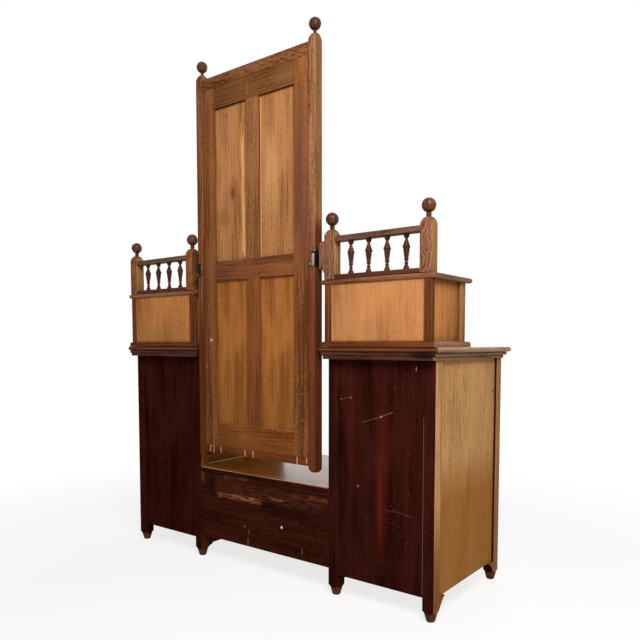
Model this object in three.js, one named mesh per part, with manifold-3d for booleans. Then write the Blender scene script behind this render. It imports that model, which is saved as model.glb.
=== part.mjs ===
// Dressing chest seen from behind: two pedestals of drawers, a low centre with one long drawer,
// a small drawer box with a spindle gallery on each pedestal, and a tilting mirror between them.
// Millimetres, +Z up, the front faces -Y, the floor is at Z = 0.
import * as THREE from "three";
import { mergeVertices } from "three/addons/utils/BufferGeometryUtils.js";
import Module from "manifold-3d";

const wasm = await Module();
wasm.setup();

// Clearances between pieces
const glueGap = 0.3; // between pieces that are glued or housed
const drawerGap = 1.2; // around a drawer front
const overrun = 2; // how far a cutting or joining solid runs past a face
const weldDistance = 0.0001; // points closer than this are one point

// Pedestals
const pedestalDepth = 490; // from the back posts' faces to the front posts' faces
const boxInset = 3.5; // from a pedestal's outer faces in to its small box
const postWidth = 38;
const postDepth = 40;
const footHeight = 28;
const footTopRadius = 20.7;
const footBottomRadius = 14.5;
const footShoulder = 10; // height of the turned shoulder under the square post
const panelThickness = 12;
const sidePanelRecess = 8; // from the post's outer face in to the side panel
const sidePanelBottom = 70;
const innerPanelBottom = 42; // the panels beside the low centre reach further down
const backPanelThickness = 10;
const backPanelRecess = 4;
const backPanelBottom = 73;
const grooveDepth = 7;
const bracketLength = 37;
const innerBracketLength = 20;
const bracketTip = 1.5; // what is left of the bracket at its lower end
const bracketBottom = 36;
const boardThickness = 18; // dust boards between the drawers
const boardSetback = 2; // from the posts' front faces
const guideHeight = 20;

// Drawer heights in a pedestal, from the bottom up
const bottomBoardLevel = 72;
const lowDrawerHeight = 252;
const middleDrawerHeight = 222;
const topDrawerHeight = 188;

// Pedestal top and the moulding under it
const topThickness = 17;
const topNose = 8; // rounding of the top's edges
const topEndOverhang = 20;
const topBackOverhang = 30;
const topFrontOverhang = 38;
const beadHeight = 11;
const beadNose = 4;
const beadEndOverhang = 12;
const beadBackOverhang = 28;
const beadFrontOverhang = 18;
const fasciaHeight = 11;
const fasciaOverhang = 5;
const fasciaBackOverhang = 26;

// Small drawer boxes
const galleryInset = 0.5; // from the box's faces in to the gallery posts
const boxHeight = 181; // between the base moulding and the top board
const boxBackOverhang = 26; // past the pedestal's back posts
const boxDepth = 224;
const boxStileWidth = 25;
const boxBackStileDepth = 20;
const boxFrontStileDepth = 40;
const boxSideRecess = 8;
const boxRailHeight = 14;
const boxRailDepth = 20;
const boxPanelThickness = 8;
const boxPanelRecess = 3;
const boxBaseHeight = 17;
const boxBaseNose = 8;
const boxBaseOverhang = 12;
const boxBaseFrontOverhang = 18;
const boxTopThickness = 16;
const boxTopNose = 7;
const boxTopOverhang = 12;
const boxTopFrontOverhang = 23;
const boxMouldingBack = 4; // past the box's own back face

// Galleries
const galleryPost = 38;
const galleryPostSpacing = 344;
const galleryPostShoulder = 2; // from the top rail up to the turned end of the post
const galleryDomeHeight = 22.5;
const galleryRailDepth = 34;
const galleryBottomRail = 14;
const galleryTopRail = 17;
const gallerySpindleLength = 104;
const spindleEndRoom = 53.7; // from a post's face to the nearest spindle's axis
const spindleRadius = 11.8;
const spindleCount = 4;
const earLength = 20.5;
const earTop = 36; // below the post's top
const earSlope = 12;
const earHeight = 105.5;
const earHook = 16.5;
const finialBallRadius = 21.3;
const finialNeckHeight = 12;
const finialNeckRadius = 8.4;

// Centre section
const centreTopThickness = 18;
const centreTopNose = 7;
const centreTopOverhang = 14; // past the pedestals' front posts
const centrePanelThickness = 12;
const centrePanelRecess = 2;
const centreBaseSetback = 60; // the base board stops this far from the back

// Mirror
const mirrorWidth = 558;
const mirrorBack = 32; // the mirror's back face past the pedestals' back posts
const mirrorPostWidth = 28;
const mirrorPostHeight = 1416.5;
const mirrorDomeHeight = 24;
const mirrorEndHeight = 16; // turned part of a post's lower end
const mirrorPostReveal = 6; // the posts stand out this far in front of the rails
const mirrorDrop = 704.9; // from the pivots down to the posts' lower ends
const mirrorSideGap = 14.5; // between the mirror and an ear, taken up by a movement
const mirrorBallRadius = 20.2;
const mirrorNeckHeight = 9.6;
const mirrorNeckRadius = 6;
const mirrorRailSetback = 2; // from the posts' back faces
const mirrorRailFromEnds = 26.5; // from the posts' upper ends down to the top rail
const mirrorTopRailHeight = 38;
const mirrorRailRise = 21; // from the posts' lower ends up to the bottom rail
const mirrorBottomRailHeight = 26;
const glassThickness = 5;
const glassGroove = 6;
const glassRoom = 2; // between the glass and the back frame
const glassLip = 1; // what is left of the rails in front of the glass
const frameThickness = 20;
const frameSetback = 4;
const frameStile = 62;
const frameMuntin = 60;
const frameTopRail = 78;
const frameBottomRail = 84;
const frameLockRail = 70;
const lowerPanelHeight = 526;
const framePanelThickness = 8;
const framePanelRecess = 9;
const framePanelTongue = 5;

// Mirror movements
const pivotFromBack = 19; // from the mirror's back face in to the pivots
const plateThickness = 3;
const plateHeight = 54;
const plateLeg = 17; // on the back of the mirror's post
const plateDepth = 30; // along the side of the mirror's post
const pinRadius = 4.5;
const pinEndGap = 1;
const socketRadius = 9;
const socketReach = 9.5;
const socketWidth = 24;

// Drawers
const frontThickness = 20;
const frontSetback = 1;
const drawerSide = 10;
const drawerBottom = 7;
const drawerBackRoom = 10; // behind the drawer box
const drawerHeadRoom = 8; // from the front's top edge down to the sides
const jewelFrontThickness = 18;
const jewelSide = 8;
const jewelBackRoom = 4;
const knobRadius = 15;
const knobLength = 27;
const jewelKnobRadius = 10;
const jewelKnobLength = 19;
const longKnobSpacing = 380;
const knobSpacing = 170;

// How finely the turned pieces are faceted
const finialSides = 14;
const spindleSides = 12;
const knobSides = 10;
const footSides = 16;
const domeSides = 16;
const noseSteps = 3;
const curveSteps = 6;

// Outlines of the turned pieces as shares: [of the radius, of the length]
const footShares = [[0.74, 0], [0.94, 0.08], [1, 0.2]];
const spindleShares = [
  [0.78, 0], [0.78, 0.04], [0.36, 0.14], [0.5, 0.165], [0.5, 0.195], [0.36, 0.23],
  [0.59, 0.27], [0.59, 0.295], [0.52, 0.32], [0.7, 0.46], [0.85, 0.614], [1, 0.625],
  [1, 0.653], [0.74, 0.723], [0.4, 0.84], [0.74, 0.94], [0.8, 1],
];
const knobShares = [[0.62, 0], [0.62, 0.1], [0.42, 0.3], [0.5, 0.45], [0.94, 0.66], [1, 0.8], [0.7, 0.95]];
const neckShares = [[0.78, 0.16], [1, 0.3], [1, 0.6], [0.82, 0.68], [1, 0.8], [0.7, 0.97]];
const domeShares = [[1, 0], [0.91, 0.27], [0.79, 0.5], [0.6, 0.78], [0.25, 1]];
const mirrorEndShares = [[0.36, 0], [0.6, 0.1], [0.82, 0.4], [1, 1]];

// The curve of a bracket as shares: [of its length, of its height]
const bracketPullShares = [0.46, 0.72];

// Woods, glass and metal
const darkBack = { color: 0x341510, roughness: 0.6 };
const honeyWood = { color: 0xa5763c, roughness: 0.5 };
const brownWood = { color: 0x6b3a24, roughness: 0.5 };
const goldWood = { color: 0xb07a42, roughness: 0.55 };
const turnedWood = { color: 0x5a2a1c, roughness: 0.35 };
const topWood = { color: 0x8f5f34, roughness: 0.4 };
const drawerWood = { color: 0xc79a62, roughness: 0.7 };
const silvered = { color: 0xdde4e6, roughness: 0.05, metalness: 1 };
const darkMetal = { color: 0x3a342c, roughness: 0.4, metalness: 0.9 };

// Solids from three.js geometries
function signedVolume(points, faces) {
  const a = new THREE.Vector3();
  const b = new THREE.Vector3();
  const c = new THREE.Vector3();
  let sum = 0;
  for (let i = 0; i < faces.length; i += 3) {
    a.fromArray(points, faces[i] * 3);
    b.fromArray(points, faces[i + 1] * 3);
    c.fromArray(points, faces[i + 2] * 3);
    sum += a.dot(b.cross(c));
  }
  return sum / 6;
}

function solid(source) {
  const geometry = source.index ? source.toNonIndexed() : source.clone();
  geometry.deleteAttribute("normal");
  geometry.deleteAttribute("uv");
  const merged = mergeVertices(geometry, weldDistance);
  const points = merged.attributes.position.array;
  const index = merged.index.array;
  let faces = [];
  for (let i = 0; i < index.length; i += 3) {
    const [p, q, r] = [index[i], index[i + 1], index[i + 2]];
    if (p !== q && q !== r && r !== p) faces.push(p, q, r);
  }
  if (signedVolume(points, faces) < 0) faces = faces.reverse();
  return new wasm.Manifold(new wasm.Mesh({
    numProp: 3,
    vertProperties: Float32Array.from(points),
    triVerts: Uint32Array.from(faces),
  }));
}

function join(first, ...others) {
  return others.reduce((sum, next) => sum.add(next), first);
}

function cut(first, ...others) {
  return others.reduce((sum, next) => sum.subtract(next), first);
}

// A block between two corners, given in any order
function block(x0, x1, y0, y1, z0, z1) {
  const size = [Math.abs(x1 - x0), Math.abs(y1 - y0), Math.abs(z1 - z0)];
  const box = new THREE.BoxGeometry(...size);
  return solid(box.translate((x0 + x1) / 2, (y0 + y1) / 2, (z0 + z1) / 2));
}

// A board with all its edges rounded to the given nose
function roundedBoard(x0, x1, y0, y1, z0, z1, nose) {
  const outline = new THREE.Shape([
    new THREE.Vector2(x0 + nose, y0 + nose),
    new THREE.Vector2(x1 - nose, y0 + nose),
    new THREE.Vector2(x1 - nose, y1 - nose),
    new THREE.Vector2(x0 + nose, y1 - nose),
  ]);
  const geometry = new THREE.ExtrudeGeometry(outline, {
    depth: z1 - z0 - 2 * nose,
    bevelEnabled: true,
    bevelThickness: nose,
    bevelSize: nose,
    bevelSegments: noseSteps,
  });
  return solid(geometry.translate(0, 0, z0 + nose));
}

// An outline in X and Z, carried along Y
function plateAlongY(shape, y0, y1) {
  const geometry = new THREE.ExtrudeGeometry(shape, {
    depth: y1 - y0, bevelEnabled: false, curveSegments: curveSteps,
  });
  return solid(geometry.rotateX(Math.PI / 2).translate(0, y1, 0));
}

// An outline in Y and Z, carried along X
function plateAlongX(shape, x0, x1) {
  const geometry = new THREE.ExtrudeGeometry(shape, {
    depth: x1 - x0, bevelEnabled: false, curveSegments: curveSteps,
  });
  return solid(geometry.rotateX(Math.PI / 2).rotateZ(Math.PI / 2).translate(x0, 0, 0));
}

// An outline in X and Y, carried up along Z
function plateAlongZ(shape, z0, z1) {
  const geometry = new THREE.ExtrudeGeometry(shape, {
    depth: z1 - z0, bevelEnabled: false, curveSegments: curveSteps,
  });
  return solid(geometry.translate(0, 0, z0));
}

// A turned solid about a vertical axis: points are [radius, height]
function turned(points, sides, x, y, z) {
  const outline = points.map(([radius, height]) => new THREE.Vector2(radius, height));
  const first = new THREE.Vector2(0, outline[0].y);
  const last = new THREE.Vector2(0, outline[outline.length - 1].y);
  const geometry = new THREE.LatheGeometry([first, ...outline, last], sides);
  return solid(geometry.rotateX(Math.PI / 2).translate(x, y, z));
}

function scaledShares(shares, radius, length) {
  return shares.map(([r, h]) => [r * radius, h * length]);
}

// A ball on a ringed neck; z is the top of what it stands on
function finial(ballRadius, neckRadius, neckHeight, x, y, z) {
  const points = scaledShares(neckShares, neckRadius, neckHeight);
  points.unshift([neckRadius * neckShares[0][0], -neckHeight]);
  const rings = finialSides / 2;
  const start = Math.asin((neckRadius * neckShares[neckShares.length - 1][0]) / ballRadius);
  for (let i = 0; i < rings; i += 1) {
    const angle = start + ((Math.PI - start) * i) / rings;
    points.push([ballRadius * Math.sin(angle), neckHeight + ballRadius * (Math.cos(start) - Math.cos(angle))]);
  }
  points.push([0, neckHeight + ballRadius * (Math.cos(start) + 1)]);
  const outline = points.map(([radius, height]) => new THREE.Vector2(radius, height));
  outline.unshift(new THREE.Vector2(0, -neckHeight));
  const geometry = new THREE.LatheGeometry(outline, finialSides);
  return solid(geometry.rotateX(Math.PI / 2).translate(x, y, z));
}

// A turned knob on a drawer front; y is the front's face
function knob(radius, length, x, y, z) {
  const shares = [[knobShares[0][0], -knobShares[1][1]], ...knobShares.slice(1), [0, 1]];
  const outline = scaledShares(shares, radius, length).map(([r, h]) => new THREE.Vector2(r, h));
  outline.unshift(new THREE.Vector2(0, outline[0].y));
  const geometry = new THREE.LatheGeometry(outline, knobSides);
  return solid(geometry.rotateX(Math.PI).translate(x, y, z));
}

// The finished object and its groups
const chest = new THREE.Group();

function add(group, name, shape, look) {
  const mesh = shape.getMesh();
  const geometry = new THREE.BufferGeometry();
  geometry.setAttribute("position", new THREE.BufferAttribute(Float32Array.from(mesh.vertProperties), 3));
  geometry.setIndex(new THREE.BufferAttribute(Uint32Array.from(mesh.triVerts), 1));
  geometry.computeVertexNormals();
  const piece = new THREE.Mesh(geometry, new THREE.MeshStandardMaterial(look));
  piece.name = name;
  group.add(piece);
  return piece;
}

// Levels and faces worked out from the sizes above
const boxWidth = galleryPostSpacing + galleryPost + 2 * galleryInset;
const pedestalWidth = boxWidth + 2 * boxInset;
const mirrorFace = mirrorWidth / 2;
const earFace = mirrorFace + mirrorSideGap;
const pedestalSpacing = 2 * (earFace + earLength) + galleryPost + galleryPostSpacing;
const postFace = pedestalWidth / 2;
const postInner = postFace - postWidth;
const panelFace = postFace - sidePanelRecess;
const panelInner = panelFace - panelThickness;
const frontPostBack = -(pedestalDepth - postDepth);
const frontPostFace = -pedestalDepth;
const boardLevels = [
  bottomBoardLevel,
  bottomBoardLevel + boardThickness + lowDrawerHeight,
  bottomBoardLevel + 2 * boardThickness + lowDrawerHeight + middleDrawerHeight,
];
const drawerHeights = [lowDrawerHeight, middleDrawerHeight, topDrawerHeight];
const railLevel = boardLevels[2] + boardThickness + topDrawerHeight;
const boardLevel = railLevel + fasciaHeight + beadHeight;
const pedestalTop = boardLevel + topThickness;
const carcassTop = boardLevel - glueGap;

// A square post with a turned foot; side is -1 or 1, y is its back face
function post(side, y) {
  const middleX = side * (postFace - postWidth / 2);
  const middleY = y - postDepth / 2;
  const square = block(side * postFace, side * postInner, y, y - postDepth, 0, carcassTop);
  const corner = Math.hypot(postWidth, postDepth) / 2 + overrun;
  const foot = turned([
    ...scaledShares(footShares, footBottomRadius, footHeight),
    [footTopRadius, footHeight],
    [corner, footHeight + footShoulder],
    [corner, carcassTop + overrun],
  ], footSides, middleX, middleY, 0);
  return square.intersect(foot);
}

// The bracket that fills the corner between a post's foot and the side panel; outward is the
// direction of the pedestal's outer side
function bracket(side, outward, postEdge, toward) {
  const length = side === outward ? bracketLength : innerBracketLength;
  const top = panelBottom(side, outward) - glueGap;
  const root = postEdge - toward * overrun;
  const tip = postEdge + toward * bracketTip;
  const end = postEdge + toward * length;
  const [along, up] = bracketPullShares;
  const pull = [tip + (end - tip) * along, bracketBottom + (top - bracketBottom) * up];
  const outline = new THREE.Shape();
  outline.moveTo(root, bracketBottom);
  outline.lineTo(tip, bracketBottom);
  outline.quadraticCurveTo(...pull, end, top);
  outline.lineTo(root, top);
  outline.closePath();
  const [near, far] = [side * postFace, side * panelInner].sort((a, b) => a - b);
  return plateAlongX(outline, near, far);
}

function panelBottom(side, outward) {
  return side === outward ? sidePanelBottom : innerPanelBottom;
}

function sideGroove(side, outward, postEdge, toward) {
  return block(
    side * (panelFace + glueGap), side * (panelInner - glueGap),
    postEdge + toward * overrun, postEdge - toward * (grooveDepth + glueGap),
    panelBottom(side, outward) - glueGap, carcassTop + overrun,
  );
}

function backPost(side, outward) {
  const backGroove = block(
    side * (postInner - overrun), side * (postInner + grooveDepth + glueGap),
    -backPanelRecess + glueGap, -backPanelRecess - backPanelThickness - glueGap,
    backPanelBottom - glueGap, carcassTop + overrun,
  );
  const shaped = join(post(side, 0), bracket(side, outward, -postDepth, -1));
  return cut(shaped, sideGroove(side, outward, -postDepth, -1), backGroove);
}

// A dust board that runs from the front posts back to the back panel, with its drawer guides
function dustBoard(level) {
  const back = -backPanelRecess - backPanelThickness - glueGap;
  const backPostFront = -postDepth - glueGap;
  const front = frontPostFace + boardSetback;
  const wide = panelInner - glueGap;
  const narrow = postInner - glueGap;
  const outline = new THREE.Shape();
  outline.moveTo(-postInner - overrun, front);
  outline.lineTo(postInner + overrun, front);
  outline.lineTo(postInner + overrun, frontPostBack);
  outline.lineTo(wide, frontPostBack);
  outline.lineTo(wide, backPostFront);
  outline.lineTo(narrow, backPostFront);
  outline.lineTo(narrow, back);
  outline.lineTo(-narrow, back);
  outline.lineTo(-narrow, backPostFront);
  outline.lineTo(-wide, backPostFront);
  outline.lineTo(-wide, frontPostBack);
  outline.lineTo(-postInner - overrun, frontPostBack);
  outline.closePath();
  const guides = [-1, 1].map((side) => block(
    side * wide, side * postInner, frontPostBack - overrun, backPostFront,
    level + boardThickness - overrun, level + boardThickness + guideHeight,
  ));
  return join(plateAlongZ(outline, level, level + boardThickness), ...guides);
}

function carcassFrame(outward) {
  const posts = [-1, 1].map((side) => cut(
    join(post(side, frontPostBack), bracket(side, outward, frontPostBack, 1)),
    sideGroove(side, outward, frontPostBack, 1),
  ));
  const rail = block(
    -postInner - overrun, postInner + overrun, frontPostFace + boardSetback, frontPostBack,
    railLevel, carcassTop,
  );
  return join(posts[0], posts[1], rail, ...boardLevels.map(dustBoard));
}

function pedestalTopBoard() {
  const reach = (overhang) => [-postFace - overhang, postFace + overhang];
  const board = roundedBoard(
    ...reach(topEndOverhang), frontPostFace - topFrontOverhang, topBackOverhang,
    boardLevel, pedestalTop, topNose,
  );
  const bead = roundedBoard(
    ...reach(beadEndOverhang), frontPostFace - beadFrontOverhang, beadBackOverhang,
    boardLevel - beadHeight, boardLevel + beadNose, beadNose,
  );
  const fascia = block(
    ...reach(fasciaOverhang), frontPostFace - fasciaOverhang, fasciaBackOverhang,
    railLevel, boardLevel - beadHeight + beadNose,
  );
  const carcass = block(
    ...reach(glueGap), frontPostFace - glueGap, glueGap, railLevel - overrun, boardLevel,
  );
  return cut(join(board, bead, fascia), carcass);
}

// A drawer tray that is open at the top and closed at the front by its own front board
function tray(halfWidth, y0, y1, z0, z1, wall, bottom) {
  const outer = block(-halfWidth, halfWidth, y0, y1, z0, z1);
  const inner = block(-halfWidth + wall, halfWidth - wall, y0 - overrun, y1 - wall, z0 + bottom, z1 + overrun);
  return cut(outer, inner);
}

function drawer(group, name, halfWidth, level, height, knobs) {
  const face = frontPostFace + frontSetback;
  const bottom = level + drawerGap;
  const top = level + height - drawerGap;
  const middle = (bottom + top) / 2;
  const half = halfWidth - drawerGap;
  const front = join(
    block(-half, half, face, face + frontThickness, bottom, top),
    ...knobs.map((x) => knob(knobRadius, knobLength, x, face, middle)),
  );
  const back = -backPanelRecess - backPanelThickness - drawerBackRoom;
  const box = tray(
    half, face + frontThickness + glueGap, back, level + glueGap, top - drawerHeadRoom,
    drawerSide, drawerBottom,
  );
  add(group, `${name}_front`, front, brownWood);
  add(group, `${name}_box`, box, drawerWood);
}

// The small drawer box on a pedestal
const boxFace = boxWidth / 2;
const boxStileInner = boxFace - boxStileWidth;
const boxFloor = pedestalTop + glueGap;
const boxBottom = boxFloor + boxBaseHeight;
const boxLid = boxBottom + boxHeight;
const boxFront = boxBackOverhang - boxDepth;
const boxMouldingEnd = boxBackOverhang + boxMouldingBack;
const boxPanelBack = boxBackOverhang - boxPanelRecess;

function boxCase() {
  const base = roundedBoard(
    -boxFace - boxBaseOverhang, boxFace + boxBaseOverhang, boxFront - boxBaseFrontOverhang, boxMouldingEnd,
    boxFloor - boxBaseNose, boxBottom, boxBaseNose,
  );
  const under = block(
    -pedestalWidth, pedestalWidth, -pedestalDepth, pedestalDepth, boxFloor - boxBaseNose - overrun, boxFloor,
  );
  const sides = [-1, 1].map((side) => join(
    block(side * boxFace, side * boxStileInner, boxBackOverhang, boxBackOverhang - boxBackStileDepth,
      boxBottom - overrun, boxLid),
    block(side * boxFace, side * boxStileInner, boxFront, boxFront + boxFrontStileDepth,
      boxBottom - overrun, boxLid),
    block(side * (boxFace - boxSideRecess), side * boxStileInner, boxBackOverhang - overrun,
      boxFront + overrun, boxBottom - overrun, boxLid),
  ));
  const rail = block(
    -boxStileInner - overrun, boxStileInner + overrun, boxFront + boardSetback,
    boxFront + boardSetback + boxRailDepth, boxLid - boxRailHeight, boxLid,
  );
  const grooves = [-1, 1].map((side) => block(
    side * (boxStileInner - overrun), side * (boxStileInner + framePanelTongue + glueGap),
    boxPanelBack + glueGap, boxPanelBack - boxPanelThickness - glueGap, boxBottom, boxLid + overrun,
  ));
  return cut(join(cut(base, under), ...sides, rail), ...grooves);
}

function boxTop() {
  const level = boxLid + glueGap;
  return roundedBoard(
    -boxFace - boxTopOverhang, boxFace + boxTopOverhang, boxFront - boxTopFrontOverhang, boxMouldingEnd,
    level, level + boxTopThickness, boxTopNose,
  );
}

function jewelDrawer() {
  const half = boxStileInner - drawerGap;
  const face = boxFront + frontSetback;
  const bottom = boxBottom + drawerGap;
  const top = boxLid - boxRailHeight - drawerGap;
  const front = join(
    block(-half, half, face, face + jewelFrontThickness, bottom, top),
    knob(jewelKnobRadius, jewelKnobLength, 0, face, (bottom + top) / 2),
  );
  const back = boxPanelBack - boxPanelThickness - jewelBackRoom;
  const box = tray(
    half, face + jewelFrontThickness - overrun, back, boxBottom + glueGap, top - drawerHeadRoom,
    jewelSide, drawerBottom,
  );
  return join(front, box);
}

// The spindle gallery on a small box
const galleryFloor = boxLid + glueGap + boxTopThickness + glueGap;
const galleryMiddle = boxMouldingEnd - glueGap - galleryPost / 2;
const galleryRailLevel = galleryFloor + galleryBottomRail + gallerySpindleLength;
const galleryShoulder = galleryRailLevel + galleryTopRail + galleryPostShoulder;
const galleryPostTop = galleryShoulder + galleryDomeHeight;
const earHighEnd = galleryPostTop - earTop;
const earLowEnd = earHighEnd - earHeight;
const pivotHeight = (earHighEnd - earSlope + earLowEnd + earHook) / 2;

function galleryPostSolid(x) {
  const half = galleryPost / 2;
  const square = block(
    x - half, x + half, galleryMiddle - half, galleryMiddle + half, galleryFloor, galleryPostTop,
  );
  const corner = Math.hypot(half, half);
  const dome = turned([
    [corner + overrun, galleryFloor - overrun],
    [corner + overrun, galleryShoulder - overrun],
    ...scaledShares(domeShares, corner, galleryDomeHeight).map(([r, h]) => [r, h + galleryShoulder]),
  ], domeSides, x, galleryMiddle, 0);
  const ball = finial(
    finialBallRadius, finialNeckRadius, finialNeckHeight, x, galleryMiddle, galleryPostTop - glueGap,
  );
  return join(square.intersect(dome), ball);
}

// The ear that carries the mirror movement; toward is the direction of the mirror
function ear(x, toward) {
  const half = galleryPost / 2;
  const root = x + toward * (half - overrun);
  const face = x + toward * half;
  const end = face + toward * earLength;
  const hookMiddle = earLowEnd + earHook / 2;
  const outline = new THREE.Shape();
  outline.moveTo(root, earLowEnd);
  outline.lineTo(face, earLowEnd);
  outline.bezierCurveTo(face, hookMiddle, end, hookMiddle, end, earLowEnd + earHook);
  outline.lineTo(end, earHighEnd - earSlope);
  outline.lineTo(face, earHighEnd);
  outline.lineTo(root, earHighEnd);
  outline.closePath();
  return plateAlongY(outline, galleryMiddle - half, galleryMiddle + half);
}

function balustrade() {
  const half = galleryPostSpacing / 2 - galleryPost / 2 - glueGap;
  const depth = galleryRailDepth / 2;
  const bottomRail = block(
    -half, half, galleryMiddle - depth, galleryMiddle + depth, galleryFloor, galleryFloor + galleryBottomRail,
  );
  const topRail = block(
    -half, half, galleryMiddle - depth, galleryMiddle + depth, galleryRailLevel, galleryRailLevel + galleryTopRail,
  );
  const firstSpindle = galleryPostSpacing / 2 - galleryPost / 2 - spindleEndRoom;
  const spindles = [];
  for (let i = 0; i < spindleCount; i += 1) {
    const x = firstSpindle * ((2 * i) / (spindleCount - 1) - 1);
    const outline = scaledShares(spindleShares, spindleRadius, gallerySpindleLength);
    outline.unshift([outline[0][0], -overrun]);
    outline.push([outline[outline.length - 1][0], gallerySpindleLength + overrun]);
    spindles.push(turned(outline, spindleSides, x, galleryMiddle, galleryFloor + galleryBottomRail));
  }
  return join(bottomRail, topRail, ...spindles);
}

// One side of the chest: a pedestal, its drawers, its small box and its gallery
function buildSide(name, side) {
  const group = new THREE.Group();
  group.position.x = (side * pedestalSpacing) / 2;
  chest.add(group);
  const label = (piece) => `${name}_${piece}`;
  add(group, label("back_post_outer"), backPost(side, side), darkBack);
  add(group, label("back_post_inner"), backPost(-side, side), darkBack);
  add(group, label("carcass_frame"), carcassFrame(side), honeyWood);
  const panelEnds = [-postDepth + grooveDepth, frontPostBack - grooveDepth];
  const sidePanel = (at) => block(
    at * panelFace, at * panelInner, ...panelEnds, panelBottom(at, side), carcassTop,
  );
  add(group, label("side_panel_outer"), sidePanel(side), honeyWood);
  add(group, label("side_panel_inner"), sidePanel(-side), honeyWood);
  const backReach = postInner + grooveDepth;
  add(group, label("back_panel"), block(
    -backReach, backReach, -backPanelRecess, -backPanelRecess - backPanelThickness,
    backPanelBottom, carcassTop,
  ), darkBack);
  add(group, label("pedestal_top"), pedestalTopBoard(), topWood);
  const knobs = [-knobSpacing / 2, knobSpacing / 2];
  ["low", "middle", "top"].forEach((row, i) => {
    drawer(group, label(`${row}_drawer`), postInner, boardLevels[i] + boardThickness, drawerHeights[i], knobs);
  });
  add(group, label("box_case"), boxCase(), goldWood);
  const boxReach = boxStileInner + framePanelTongue;
  add(group, label("box_back_panel"), block(
    -boxReach, boxReach, boxPanelBack, boxPanelBack - boxPanelThickness, boxBottom + glueGap, boxLid,
  ), goldWood);
  add(group, label("box_top"), boxTop(), topWood);
  add(group, label("jewel_drawer"), jewelDrawer(), brownWood);
  const outer = (side * galleryPostSpacing) / 2;
  add(group, label("gallery_post_outer"), galleryPostSolid(outer), brownWood);
  add(group, label("gallery_post_inner"), join(galleryPostSolid(-outer), ear(-outer, -side)), brownWood);
  add(group, label("gallery_spindles"), balustrade(), turnedWood);
}

buildSide("right", 1);
buildSide("left", -1);

// The low centre between the pedestals
const centreHalf = pedestalSpacing / 2 - postFace - glueGap;
const centreWide = pedestalSpacing / 2 - panelFace - glueGap;
const centreTopBottom = boardLevels[1];
const centreTopLevel = centreTopBottom + centreTopThickness;
const centreBaseTop = bottomBoardLevel + boardThickness;
add(chest, "centre_top", roundedBoard(
  -centreHalf, centreHalf, frontPostFace - centreTopOverhang, 0,
  centreTopBottom, centreTopLevel, centreTopNose,
), topWood);
add(chest, "centre_back_panel", block(
  -centreHalf, centreHalf, -centrePanelRecess, -centrePanelRecess - centrePanelThickness,
  centreBaseTop, centreTopBottom - glueGap,
), darkBack);
add(chest, "centre_base_board", join(
  block(-centreHalf, centreHalf, frontPostFace + boardSetback, frontPostBack + overrun,
    bottomBoardLevel, centreBaseTop),
  block(-centreWide, centreWide, frontPostBack + glueGap, -centreBaseSetback,
    bottomBoardLevel, centreBaseTop),
), drawerWood);
drawer(
  chest, "long_drawer", centreHalf + glueGap, centreBaseTop, centreTopBottom - centreBaseTop,
  [-longKnobSpacing / 2, longKnobSpacing / 2],
);

// The mirror
const mirror = new THREE.Group();
chest.add(mirror);
const mirrorInner = mirrorFace - mirrorPostWidth;
const frameBack = mirrorBack - frameSetback;
const frameFront = frameBack - frameThickness;
const glassBack = frameFront - glassRoom;
const railBack = mirrorBack - mirrorRailSetback;
const railFront = glassBack - glassThickness - glassLip;
const railHalf = mirrorInner - glueGap;
const mirrorFront = railFront - mirrorPostReveal;
const mirrorPostBottom = pivotHeight - mirrorDrop;
const mirrorTop = mirrorPostBottom + mirrorPostHeight;
const topRailTop = mirrorTop - mirrorRailFromEnds;
const topRailBottom = topRailTop - mirrorTopRailHeight;
const bottomRailBottom = mirrorPostBottom + mirrorRailRise;
const bottomRailTop = bottomRailBottom + mirrorBottomRailHeight;
const glassReach = glassGroove - glueGap;

function glassSpace(margin) {
  return block(
    -mirrorInner - glassReach - margin, mirrorInner + glassReach + margin,
    glassBack + margin, glassBack - glassThickness - margin,
    bottomRailTop - glassReach - margin, topRailBottom + glassReach + margin,
  );
}

function mirrorPost(side) {
  const middle = side * (mirrorFace - mirrorPostWidth / 2);
  const half = mirrorPostWidth / 2;
  const depth = (mirrorFront + mirrorBack) / 2;
  const shoulder = mirrorTop - mirrorDomeHeight;
  const square = block(middle - half, middle + half, mirrorFront, mirrorBack, mirrorPostBottom, mirrorTop);
  const corner = Math.hypot(half, mirrorBack - depth);
  const ends = turned([
    ...scaledShares(mirrorEndShares, corner, mirrorEndHeight).map(([r, h]) => [r, h + mirrorPostBottom]),
    [corner + overrun, mirrorPostBottom + mirrorEndHeight + overrun],
    [corner + overrun, shoulder - overrun],
    ...scaledShares(domeShares, corner, mirrorDomeHeight).map(([r, h]) => [r, h + shoulder]),
  ], domeSides, middle, depth, 0);
  const ball = finial(mirrorBallRadius, mirrorNeckRadius, mirrorNeckHeight, middle, depth, mirrorTop - glueGap);
  return cut(join(square.intersect(ends), ball), glassSpace(glueGap));
}

for (const [name, side] of [["right", 1], ["left", -1]]) {
  add(mirror, `mirror_${name}_post`, mirrorPost(side), brownWood);
}
add(mirror, "mirror_top_rail", cut(block(
  -railHalf, railHalf, railBack, railFront, topRailBottom, topRailTop,
), glassSpace(glueGap)), brownWood);
add(mirror, "mirror_bottom_rail", cut(block(
  -railHalf, railHalf, railBack, railFront, bottomRailBottom, bottomRailTop,
), glassSpace(glueGap)), brownWood);
add(mirror, "mirror_glass", glassSpace(0), silvered);

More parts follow.
